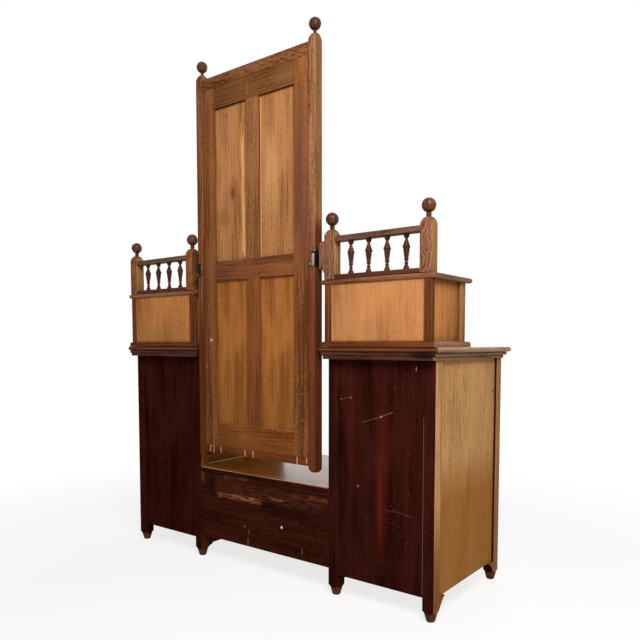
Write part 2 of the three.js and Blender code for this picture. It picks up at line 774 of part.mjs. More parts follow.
// The framed back of the mirror with its four panels in grooves
const frameBottom = bottomRailTop + glueGap;
const frameTop = topRailBottom - glueGap;
const panelColumns = [[frameMuntin / 2, railHalf - frameStile], [frameStile - railHalf, -frameMuntin / 2]];
const lowerPanelBottom = frameBottom + frameBottomRail;
const lockRailBottom = lowerPanelBottom + lowerPanelHeight;
const panelRows = [
  ["lower", lowerPanelBottom, lockRailBottom],
  ["upper", lockRailBottom + frameLockRail, frameTop - frameTopRail],
];
const framePanelBack = frameBack - framePanelRecess;
let mirrorFrame = block(-railHalf, railHalf, frameFront, frameBack, frameBottom, frameTop);
for (const [row, low, high] of panelRows) {
  panelColumns.forEach(([near, far], i) => {
    const reach = framePanelTongue + glueGap;
    const window = block(near, far, frameFront - overrun, frameBack + overrun, low, high);
    const groove = block(
      near - reach, far + reach, framePanelBack + glueGap, framePanelBack - framePanelThickness - glueGap,
      low - reach, high + reach,
    );
    mirrorFrame = cut(mirrorFrame, window, groove);
    add(mirror, `mirror_${row}_${["right", "left"][i]}_panel`, block(
      near - framePanelTongue, far + framePanelTongue, framePanelBack, framePanelBack - framePanelThickness,
      low - framePanelTongue, high + framePanelTongue,
    ), goldWood);
  });
}
add(mirror, "mirror_back_frame", mirrorFrame, brownWood);

// The two movements: a plate with a pin on the mirror, a socket on the gallery post's ear
const pivotY = mirrorBack - pivotFromBack;

function roundEndedPlate(middle, width, height, x0, x1) {
  const half = width / 2;
  const straight = height / 2 - half;
  const outline = new THREE.Shape();
  outline.moveTo(middle + half, pivotHeight - straight);
  outline.lineTo(middle + half, pivotHeight + straight);
  outline.absarc(middle, pivotHeight + straight, half, 0, Math.PI, false);
  outline.lineTo(middle - half, pivotHeight - straight);
  outline.absarc(middle, pivotHeight - straight, half, Math.PI, 2 * Math.PI, false);
  return plateAlongX(outline, Math.min(x0, x1), Math.max(x0, x1));
}

function turnedAlongX(radius, x0, x1) {
  const pin = new THREE.CylinderGeometry(radius, radius, Math.abs(x1 - x0), finialSides);
  return solid(pin.rotateZ(Math.PI / 2).translate((x0 + x1) / 2, pivotY, pivotHeight));
}

for (const [name, side] of [["right", 1], ["left", -1]]) {
  const plateFace = mirrorFace + glueGap;
  const plateBack = mirrorBack + glueGap + plateThickness;
  const socketFace = earFace - glueGap;
  const half = plateHeight / 2;
  const [low, high] = [pivotHeight - half, pivotHeight + half];
  const mirrorPlate = join(
    block(side * (mirrorFace - plateLeg), side * (plateFace + plateThickness), mirrorBack + glueGap, plateBack,
      low, high),
    block(side * plateFace, side * (plateFace + plateThickness), plateBack - plateDepth, plateBack, low, high),
    turnedAlongX(pinRadius, side * plateFace, side * (socketFace - plateThickness - pinEndGap)),
  );
  add(mirror, `mirror_${name}_pivot_plate`, mirrorPlate, darkMetal);
  const socket = join(
    roundEndedPlate(pivotY, socketWidth, plateHeight, side * (socketFace - plateThickness), side * socketFace),
    turnedAlongX(socketRadius, side * (socketFace - socketReach), side * (socketFace - overrun)),
  );
  const bore = turnedAlongX(pinRadius + glueGap, side * (socketFace - socketReach - overrun),
    side * (socketFace - plateThickness));
  add(chest, `${name}_mirror_socket`, cut(socket, bore), darkMetal);
}

// The origin is in the middle of the footprint
const frontMost = frontPostFace - topFrontOverhang;
const backMost = mirrorBack + glueGap + plateThickness;
chest.position.y = -(frontMost + backMost) / 2;

export default chest;
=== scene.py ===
# %% [markdown]
# # A dressing chest seen from behind
# The chest is made of pine boards: two pedestals of drawers, a low centre, a small drawer box
# with a spindle gallery on each pedestal, and a tall mirror that tilts between them.
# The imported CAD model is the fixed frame. Every piece made here rides on one of its bodies.

import math

import bpy
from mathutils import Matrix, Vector


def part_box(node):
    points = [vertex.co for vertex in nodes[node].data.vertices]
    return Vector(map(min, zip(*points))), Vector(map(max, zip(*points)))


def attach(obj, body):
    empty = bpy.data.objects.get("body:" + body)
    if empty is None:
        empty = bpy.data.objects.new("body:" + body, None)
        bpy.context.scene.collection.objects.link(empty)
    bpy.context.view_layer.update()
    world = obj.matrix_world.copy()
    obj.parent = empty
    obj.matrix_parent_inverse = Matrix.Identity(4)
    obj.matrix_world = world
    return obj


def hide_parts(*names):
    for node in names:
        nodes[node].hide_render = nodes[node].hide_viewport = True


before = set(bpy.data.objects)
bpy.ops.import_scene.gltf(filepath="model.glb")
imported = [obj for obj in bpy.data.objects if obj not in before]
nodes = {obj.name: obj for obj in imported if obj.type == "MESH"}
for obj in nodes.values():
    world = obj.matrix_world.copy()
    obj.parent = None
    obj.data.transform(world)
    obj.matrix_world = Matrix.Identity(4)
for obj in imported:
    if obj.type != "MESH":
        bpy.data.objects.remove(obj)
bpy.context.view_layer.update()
bpy.ops.object.select_all(action="DESELECT")

# %% [markdown]
# ## The camera
# The picture was taken from behind the chest, a little above its tops, from about 2.5 metres.
# The camera's place and lens were found by fitting the chest's edges. The lens looks slightly
# down and the picture is shifted, so that upright boards stay upright in it.

# %% Camera
PICTURE = 640
FOCAL_PIXELS = 638.873
CENTRE_ROW = 385.807
SENSOR_MM = 36.0
CAMERA_PLACE = (-1.5634, 1.9201, 0.8352)
CAMERA_YAW = math.radians(37.593)
CAMERA_PITCH = math.radians(-3.709)


def make_camera():
    """The camera at the picture's place, with its lens and its upward shift."""
    data = bpy.data.cameras.new("camera")
    data.sensor_width = SENSOR_MM
    data.lens = FOCAL_PIXELS / PICTURE * SENSOR_MM
    data.shift_y = (CENTRE_ROW - PICTURE / 2) / PICTURE
    camera = bpy.data.objects.new("camera", data)
    bpy.context.scene.collection.objects.link(camera)
    ahead = Vector((
        math.sin(CAMERA_YAW) * math.cos(CAMERA_PITCH),
        -math.cos(CAMERA_YAW) * math.cos(CAMERA_PITCH),
        math.sin(CAMERA_PITCH),
    ))
    camera.location = CAMERA_PLACE
    camera.rotation_mode = "QUATERNION"
    camera.rotation_quaternion = ahead.to_track_quat("-Z", "Y")
    bpy.context.scene.camera = camera
    return camera


camera = make_camera()
print("lens", round(camera.data.lens, 2), "mm, shift", round(camera.data.shift_y, 4))

# %% [markdown]
# ## Nodes and colours
# Materials are built from shader nodes. One small function adds a node, gives it its settings
# and joins it to other nodes. Colours are written as the hex values that a painter would pick
# from a screen, and one function turns them into the linear values that the shader needs.

# %% Node and colour helpers
def add_node(tree, kind, inputs=None, **settings):
    """Adds a shader node, with its settings and with values or links for its inputs."""
    made = tree.nodes.new("ShaderNode" + kind)
    for key, value in settings.items():
        setattr(made, key, value)
    for key, value in (inputs or {}).items():
        if isinstance(value, bpy.types.NodeSocket):
            tree.links.new(value, made.inputs[key])
        else:
            made.inputs[key].default_value = value
    return made


def linear(hex_colour):
    """A hex colour as linear red, green, blue and alpha."""
    channels = [int(hex_colour[i:i + 2], 16) / 255 for i in (1, 3, 5)]
    return (*[c / 12.92 if c <= 0.04045 else ((c + 0.055) / 1.055) ** 2.4 for c in channels], 1.0)


def clear_material(name):
    """A new material with an empty tree and its output node."""
    material = bpy.data.materials.new(name)
    material.use_nodes = True
    material.node_tree.nodes.clear()
    return material, material.node_tree, add_node(material.node_tree, "OutputMaterial")


# %% [markdown]
# ## Studio
# The chest stands on a white floor in soft light. A broad lamp hangs high on the camera's right,
# so the light falls off towards the left and the floor, as it does in the picture. A weaker
# lamp fills from the left and one lights the front. The white of the background is only what
# the camera sees: Light Path picks it, so the chest gets no extra light from it.

# %% World, floor and lamps
WORLD_STRENGTH = 0.2
FLOOR_SIZE = 60.0
FLOOR_DEPTH = 0.0005
SHADOW_NEAR = 0.9
SHADOW_FAR = 2.4
SHADOW_SHOWN = 0.22
WHITE = (1.0, 1.0, 1.0, 1.0)
LAMPS = (  # name, place, target, size in metres, watts
    ("key_lamp", (-1.7, 1.7, 2.3), (-0.3, 0.2, 1.0), 1.1, 80),
    ("fill_lamp", (1.6, 3.4, 1.9), (0.2, 0.2, 0.9), 2.0, 6),
    ("front_lamp", (0.6, -3.6, 2.4), (0, 0, 0.9), 2.4, 70),
)


def seen_directly(tree, *rays):
    """1 for the kinds of ray that look at a thing instead of lighting it."""
    path = add_node(tree, "LightPath")
    seen = path.outputs[rays[0]]
    for ray in rays[1:]:
        seen = add_node(tree, "Math", {0: seen, 1: path.outputs[ray]}, operation="MAXIMUM").outputs[0]
    return seen


def make_world():
    """A soft white sky, seen as pure white by the camera and by reflections."""
    world = bpy.data.worlds.new("studio")
    bpy.context.scene.world = world
    world.use_nodes = True
    tree = world.node_tree
    tree.nodes.clear()
    seen = seen_directly(tree, "Is Camera Ray", "Is Glossy Ray", "Is Transmission Ray")
    light = add_node(tree, "Background", {"Color": linear("#fffdf9"), "Strength": WORLD_STRENGTH})
    white = add_node(tree, "Background", {"Color": WHITE, "Strength": 1.0})
    mixed = add_node(tree, "MixShader", {0: seen, 1: light.outputs[0], 2: white.outputs[0]})
    add_node(tree, "OutputWorld", {"Surface": mixed.outputs[0]})


def make_floor():
    """A white floor that keeps a soft shadow near the chest and melts into the background."""
    bpy.ops.mesh.primitive_plane_add(size=FLOOR_SIZE, location=(0, 0, -FLOOR_DEPTH))
    floor = bpy.context.active_object
    floor.name = "floor"
    material, tree, output = clear_material("white_paper_floor")
    place = add_node(tree, "TexCoord").outputs["Object"]
    far = add_node(tree, "VectorMath", {0: place}, operation="LENGTH")
    fade = add_node(tree, "MapRange", {
        "Value": far.outputs["Value"], "From Min": SHADOW_NEAR, "From Max": SHADOW_FAR,
        "To Min": 1 - SHADOW_SHOWN, "To Max": 1.0,
    }, interpolation_type="SMOOTHSTEP")
    seen = seen_directly(tree, "Is Camera Ray", "Is Glossy Ray")
    share = add_node(tree, "Math", {0: seen, 1: fade.outputs[0]}, operation="MULTIPLY")
    paper = add_node(tree, "BsdfDiffuse", {"Color": linear("#fbfaf7")})
    white = add_node(tree, "Emission", {"Color": WHITE, "Strength": 1.0})
    mixed = add_node(tree, "MixShader", {0: share.outputs[0], 1: paper.outputs[0], 2: white.outputs[0]})
    tree.links.new(mixed.outputs[0], output.inputs["Surface"])
    floor.data.materials.append(material)


def make_lamp(name, place, target, size, watts):
    """A square softbox at a place, turned to a target."""
    data = bpy.data.lights.new(name, "AREA")
    data.size = size
    data.energy = watts
    lamp = bpy.data.objects.new(name, data)
    bpy.context.scene.collection.objects.link(lamp)
    lamp.location = place
    lamp.rotation_mode = "QUATERNION"
    lamp.rotation_quaternion = (Vector(target) - Vector(place)).to_track_quat("-Z", "Y")


make_world()
make_floor()
for lamp in LAMPS:
    make_lamp(*lamp)
bpy.context.scene.view_settings.view_transform = "Standard"
print("studio ready")

# %% [markdown]
# ## Wood
# All of the chest is pine, sawn lengthwise. A sawn face shows the year's growth as lines that run
# along the board. They are straight where the board was cut square to the rings. Where it was cut
# flat to them, the lines close into flames, because the face passes near the tree's heart.
# So the lines are made as the rings of a trunk: the distance from a leaning heart, bent by a noise.
# Fibres, bands and clouds of stain lie over them, and a bump follows the lines.
# Real pine has lines 1 to 4 mm apart. Here they are 8 to 20 mm apart and the fibres 5 mm wide,
# because a picture of this size shows nothing finer than 3 mm.

# %% The wood's layers
GRAIN_TURN = {"X": (0, -math.pi / 2, 0), "Y": (math.pi / 2, 0, 0), "Z": (0, 0, 0)}
# Each noise: how wide and how long its spots are in metres, its detail and its roughness
BEND_NOISE = (0.10, 0.7, 2.0, 0.45)
CURL_NOISE = (0.018, 0.035, 2.0)
FADE_NOISE = (0.05, 0.5, 1.0)
FIBRE_NOISE = (0.005, 0.2, 3.0, 0.6)
PORE_NOISE = (0.0045, 0.014, 1.0)
BAND_NOISE = (0.018, 0.5, 2.0)
CLOUD_NOISE = (0.09, 0.25, 3.0)
SQUARE_CUT = (1, 0.83, 0)
LATE_WOOD = ((0.16, 0.0), (0.55, 0.25), (0.9, 1.0))
YEAR_END = 0.35


def stretched_noise(tree, vector, across, along, detail=2.0, roughness=0.5):
    """A noise whose spots are as wide as across and as long as along, in metres."""
    scaled = add_node(tree, "VectorMath", {0: vector, 1: (1 / across, 1 / across, 1 / along)},
                      operation="MULTIPLY")
    noise = add_node(tree, "TexNoise", {
        "Vector": scaled.outputs[0], "Scale": 1.0, "Detail": detail, "Roughness": roughness,
    })
    return noise.outputs["Fac"]


def growth_lines(tree, vector, line, wander, curl, heart):
    """0 in the pale early wood and 1 in the dark line that ends a year. heart is None for a board
    cut square to the rings, or the heart's two distances from the board and its two slopes."""
    bend = stretched_noise(tree, vector, *BEND_NOISE)
    if heart:
        across, deep, lean, tilt = heart
        leaned = add_node(tree, "Mapping", {
            "Vector": vector, "Location": (-across, -deep, 0), "Rotation": (tilt, lean, 0),
        })
        flat = add_node(tree, "VectorMath", {0: leaned.outputs[0], 1: (1, 1, 0)}, operation="MULTIPLY")
        distance = add_node(tree, "VectorMath", {0: flat.outputs[0]}, operation="LENGTH")
    else:
        distance = add_node(tree, "VectorMath", {0: vector, 1: SQUARE_CUT}, operation="DOT_PRODUCT")
    years = add_node(tree, "Math", {0: distance.outputs["Value"], 1: 1 / line}, operation="MULTIPLY")
    for noise, strength in ((bend, wander), (stretched_noise(tree, vector, *CURL_NOISE), curl)):
        years = add_node(tree, "Math", {0: noise, 1: strength, 2: years.outputs[0]},
                         operation="MULTIPLY_ADD")
    year = add_node(tree, "Math", {0: years.outputs[0]}, operation="FRACT")
    late = add_node(tree, "ValToRGB", {0: year.outputs[0]})
    late.color_ramp.interpolation = "EASE"
    for place, value in LATE_WOOD:
        late.color_ramp.elements.new(place).color = (value, value, value, 1)
    for end in (0, -1):
        late.color_ramp.elements[end].color = (YEAR_END, YEAR_END, YEAR_END, 1)
    strength = add_node(tree, "MapRange", {
        "Value": stretched_noise(tree, vector, *FADE_NOISE), "From Min": 0.36, "From Max": 0.64,
        "To Min": 0.35, "To Max": 1.0,
    })
    faded = add_node(tree, "Math", {0: late.outputs[0], 1: strength.outputs[0]}, operation="MULTIPLY")
    return faded.outputs[0]


# %% [markdown]
# ## Marks
# An old chest carries scratches, knots, worn streaks and chips in its stain. Some marks paint light
# and shade as well: a darkening by height, a dark rim beside a frame and a pale highlight line.
# Each mark is a mask that is 1 on the mark and 0 beside it. A spot is an ellipse, a line is a thin
# mark between two points, mostly a scratch, and a streak is a broad line broken up by the fibres.

# %% Masks for marks
WAVE_LENGTH = 0.314  # the wave texture's own spacing at scale 1, in metres
STREAK_WIDE, STREAK_LONG = 0.004, 0.05  # the fibres that break a streak, in metres
LINE_CORE = 0.3
SPOT_CORE = 0.2
CHIP_CORE = 0.4
CHIP_GROUPS = 9.0
PANEL_THICK = 0.02  # a panel's thickness is under twice this
SECTION_PLACE = {
    "X": lambda along, a, b: (along, a, b),
    "Y": lambda along, a, b: (a, along, b),
    "Z": lambda along, a, b: (a, b, along),
}


def spot(tree, place, centre, reach):
    """1 at a centre, fading to 0 at an ellipse whose half sizes are reach."""
    offset = add_node(tree, "VectorMath", {0: place, 1: centre}, operation="SUBTRACT")
    sized = add_node(tree, "VectorMath", {0: offset.outputs[0], 1: [1 / r for r in reach]},
                     operation="MULTIPLY")
    distance = add_node(tree, "VectorMath", {0: sized.outputs[0]}, operation="LENGTH")
    return add_node(tree, "MapRange", {
        "Value": distance.outputs["Value"], "From Min": 1.0, "From Max": SPOT_CORE,
    }, interpolation_type="SMOOTHSTEP").outputs[0]


def line_between(tree, place, start, end, width):
    """1 on a straight line between two points, 0 at its width beside it."""
    start, end = Vector(start), Vector(end)
    length = end - start
    offset = add_node(tree, "VectorMath", {0: place, 1: start}, operation="SUBTRACT")
    along = add_node(tree, "VectorMath", {0: offset.outputs[0], 1: length / length.length_squared},
                     operation="DOT_PRODUCT")
    share = add_node(tree, "Clamp", {"Value": along.outputs["Value"]})
    nearest = add_node(tree, "VectorMath", {0: tuple(length), "Scale": share.outputs[0]},
                       operation="SCALE")
    apart = add_node(tree, "VectorMath", {0: offset.outputs[0], 1: nearest.outputs[0]},
                     operation="SUBTRACT")
    distance = add_node(tree, "VectorMath", {0: apart.outputs[0]}, operation="LENGTH")
    return add_node(tree, "MapRange", {
        "Value": distance.outputs["Value"], "From Min": width, "From Max": width * LINE_CORE,
    }).outputs[0]


def streak(tree, place, start, end, width):
    """A broad line that the fibres break up, as stain does where it has worn off."""
    whole = line_between(tree, place, start, end, width)
    run = Vector(end) - Vector(start)
    long_axis = max(range(3), key=lambda i: abs(run[i]))
    stretch = [1 / (STREAK_LONG if i == long_axis else STREAK_WIDE) for i in range(3)]
    scaled = add_node(tree, "VectorMath", {0: place, 1: stretch}, operation="MULTIPLY")
    noise = add_node(tree, "TexNoise", {"Vector": scaled.outputs[0], "Scale": 1.0, "Detail": 2.0})
    broken = add_node(tree, "MapRange", {
        "Value": noise.outputs["Fac"], "From Min": 0.42, "From Max": 0.6,
    })
    shown = add_node(tree, "Math", {0: whole, 1: broken.outputs[0]}, operation="MULTIPLY")
    return shown.outputs[0]


def chips(tree, place, spacing, size):
    """Small chips in the stain, in loose groups."""
    cells = add_node(tree, "TexVoronoi", {"Vector": place, "Scale": 1 / spacing, "Randomness": 1.0})
    near = add_node(tree, "MapRange", {
        "Value": cells.outputs["Distance"], "From Min": size / spacing,
        "From Max": CHIP_CORE * size / spacing,
    })
    groups = add_node(tree, "TexNoise", {"Vector": place, "Scale": CHIP_GROUPS, "Detail": 1.0})
    group = add_node(tree, "MapRange", {
        "Value": groups.outputs["Fac"], "From Min": 0.47, "From Max": 0.58,
    })
    shown = add_node(tree, "Math", {0: near.outputs[0], 1: group.outputs[0]}, operation="MULTIPLY")
    return shown.outputs[0]


def curls(tree, place, spacing, bend):
    """Thin pale lines that curl about, as where a flat-sawn face has been rubbed with wax."""
    wave = add_node(tree, "TexWave", {
        "Vector": place, "Scale": WAVE_LENGTH / spacing, "Distortion": bend, "Detail": 2.0,
        "Detail Scale": 0.6,
    }, bands_direction="X")
    crest = add_node(tree, "MapRange", {
        "Value": wave.outputs["Fac"], "From Min": 0.7, "From Max": 1.0,
    })
    return crest.outputs[0]


def upward(tree, place, full, none):
    """1 below one height and 0 above another, or the other way round."""
    axes = add_node(tree, "SeparateXYZ", {0: place})
    return add_node(tree, "MapRange", {
        "Value": axes.outputs["Z"], "From Min": none, "From Max": full,
    }, interpolation_type="SMOOTHSTEP").outputs[0]


def rim(tree, place, low, high, reach):
    """1 at the rim of a panel beside its frame: the wax and dirt that gather there, and painted shade of
    the frame's recess.
    """
    middle = (Vector(low) + Vector(high)) / 2
    half = (Vector(high) - Vector(low)) / 2
    offset = add_node(tree, "VectorMath", {0: place, 1: tuple(middle)}, operation="SUBTRACT")
    size = add_node(tree, "VectorMath", {0: offset.outputs[0]}, operation="ABSOLUTE")
    room = add_node(tree, "VectorMath", {0: tuple(half), 1: size.outputs[0]}, operation="SUBTRACT")
    axes = add_node(tree, "SeparateXYZ", {0: room.outputs[0]})
    wide = [axes.outputs[i] for i in range(3) if half[i] > PANEL_THICK]
    nearest = add_node(tree, "Math", {0: wide[0], 1: wide[1]}, operation="MINIMUM")
    return add_node(tree, "MapRange", {
        "Value": nearest.outputs[0], "From Min": reach, "From Max": 0.0,
    }, interpolation_type="SMOOTHSTEP").outputs[0]


MASKS = {"spot": spot, "line": line_between, "streak": streak, "chips": chips, "curls": curls,
         "upward": upward, "rim": rim}


def stained(tree, colour, mask, strength, stain):
    """Mixes a mark's colour into a colour where a mask says. Most marks are stains; some are painted
    light and shade.
    """
    amount = add_node(tree, "Math", {0: mask, 1: strength}, operation="MULTIPLY")
    mixed = add_node(tree, "Mix", {0: amount.outputs[0], 6: colour, 7: linear(stain)}, data_type="RGBA")
    return mixed.outputs[2]


def face_marks(axis, level, rows, depth=0.02):
    """Marks on a flat face square to an axis. A row is a kind, its measures along the face, a
    strength and a colour. A spot has a centre and a reach, and goes as deep as depth into the
    wood. A line has two ends and a width."""
    lay = SECTION_PLACE[axis]
    marks = []
    for kind, *sizes, strength, colour in rows:
        if kind == "spot":
            sizes = lay(level, *sizes[:2]), lay(depth, *sizes[2:])
        elif kind in ("line", "streak"):
            sizes = lay(level, *sizes[:2]), lay(level, *sizes[2:4]), sizes[4]
        marks.append((kind, sizes, strength, colour))
    return marks


# %% The wood material
GRAIN_AXIS = {"X": (1, 0, 0), "Y": (0, 1, 0), "Z": (0, 0, 1)}
NOISE_GAIN = 8.0
PALE_SHARE = 0.7
DARK_SHARES = (1.0, 1.12, 1.22)
END_GRAIN_SHARE = 0.55
RELIEF_DEPTH = 0.0008
COAT_ROUGHNESS = 0.2


def pale_and_dark(colour, depth):
    """The pale early wood and the dark lines of a stained colour. Stain darkens towards red."""
    pale = (*[c * (1 + PALE_SHARE * depth) for c in colour[:3]], 1.0)
    dark = (*[c * (1 - depth * share) for c, share in zip(colour, DARK_SHARES)], 1.0)
    return pale, dark


def wood(name, colour, depth=0.5, grain="Z", centre=(0, 0, 0), heart=None, line=0.012, lines=0.5,
         wander=4.0, curl=0.15, fibre=0.2, pores=0.12, band=0.15, cloud=0.15, rough=(0.5, 0.65),
         shine=0.04, gloss=0.0, bump=0.25, marks=()):
    """Sawn and finished wood about a centre. marks are (mask, its values, strength, colour)."""
    material, tree, output = clear_material(name)
    coordinates = add_node(tree, "TexCoord")
    place = coordinates.outputs["Object"]
    offset = add_node(tree, "VectorMath", {0: place, 1: centre}, operation="SUBTRACT")
    turned = add_node(tree, "Mapping", {"Vector": offset.outputs[0], "Rotation": GRAIN_TURN[grain]})
    vector = turned.outputs[0]
    late = growth_lines(tree, vector, line, wander, curl, heart)
    fibres = stretched_noise(tree, vector, *FIBRE_NOISE)
    layers = (
        (late, 0.25, lines),
        (fibres, 0.5, NOISE_GAIN * fibre),
        (stretched_noise(tree, vector, *PORE_NOISE), 0.5, NOISE_GAIN * pores),
        (stretched_noise(tree, vector, *BAND_NOISE), 0.5, NOISE_GAIN * band),
        (stretched_noise(tree, vector, *CLOUD_NOISE), 0.5, NOISE_GAIN * cloud),
    )
    tone = 0.5
    for layer, usual, strength in layers:
        centred = add_node(tree, "Math", {0: layer, 1: usual}, operation="SUBTRACT")
        tone = add_node(tree, "Math", {0: centred.outputs[0], 1: strength, 2: tone},
                        operation="MULTIPLY_ADD").outputs[0]
    middle = linear(colour)
    pale, dark = pale_and_dark(middle, depth)
    ramp = add_node(tree, "ValToRGB", {0: tone})
    ramp.color_ramp.elements[0].color = pale
    ramp.color_ramp.elements[1].color = dark
    ramp.color_ramp.elements.new(0.5).color = middle
    facing = add_node(tree, "VectorMath", {0: coordinates.outputs["Normal"], 1: GRAIN_AXIS[grain]},
                      operation="DOT_PRODUCT")
    square = add_node(tree, "Math", {0: facing.outputs["Value"], 1: facing.outputs["Value"]},
                      operation="MULTIPLY")
    end = add_node(tree, "MapRange", {
        "Value": square.outputs[0], "From Min": 0.2, "From Max": 0.9, "To Max": END_GRAIN_SHARE,
    })
    ended = add_node(tree, "Mix", {0: end.outputs[0], 6: ramp.outputs[0], 7: dark}, data_type="RGBA")
    shade = ended.outputs[2]
    for kind, values, strength, stain in marks:
        shade = stained(tree, shade, MASKS[kind](tree, place, *values), strength, stain)
    roughness = add_node(tree, "MapRange", {"Value": tone, "To Min": rough[0], "To Max": rough[1]})
    relief = add_node(tree, "Math", {0: late, 1: 0.5, 2: fibres}, operation="MULTIPLY_ADD")
    raised = add_node(tree, "Bump", {
        "Strength": bump, "Distance": RELIEF_DEPTH, "Height": relief.outputs[0],
    })
    surface = add_node(tree, "BsdfPrincipled", {
        "Base Color": shade, "Roughness": roughness.outputs[0], "Normal": raised.outputs[0],
        "Specular IOR Level": shine, "Coat Weight": gloss, "Coat Roughness": COAT_ROUGHNESS,
    })
    tree.links.new(surface.outputs[0], output.inputs["Surface"])
    return material


# %% [markdown]
# ## Finishes
# The chest was stained and waxed in three ways: the backs of the pedestals nearly black-brown,
# the mirror's frame and the galleries brown, and the panels and the outer sides left golden.
# Each finish is a common name with its usual colour. Its pale wood and its dark lines follow from
# that colour and its depth. A worn finish lies on the arrises, where hands and dusters have
# rubbed the stain off.

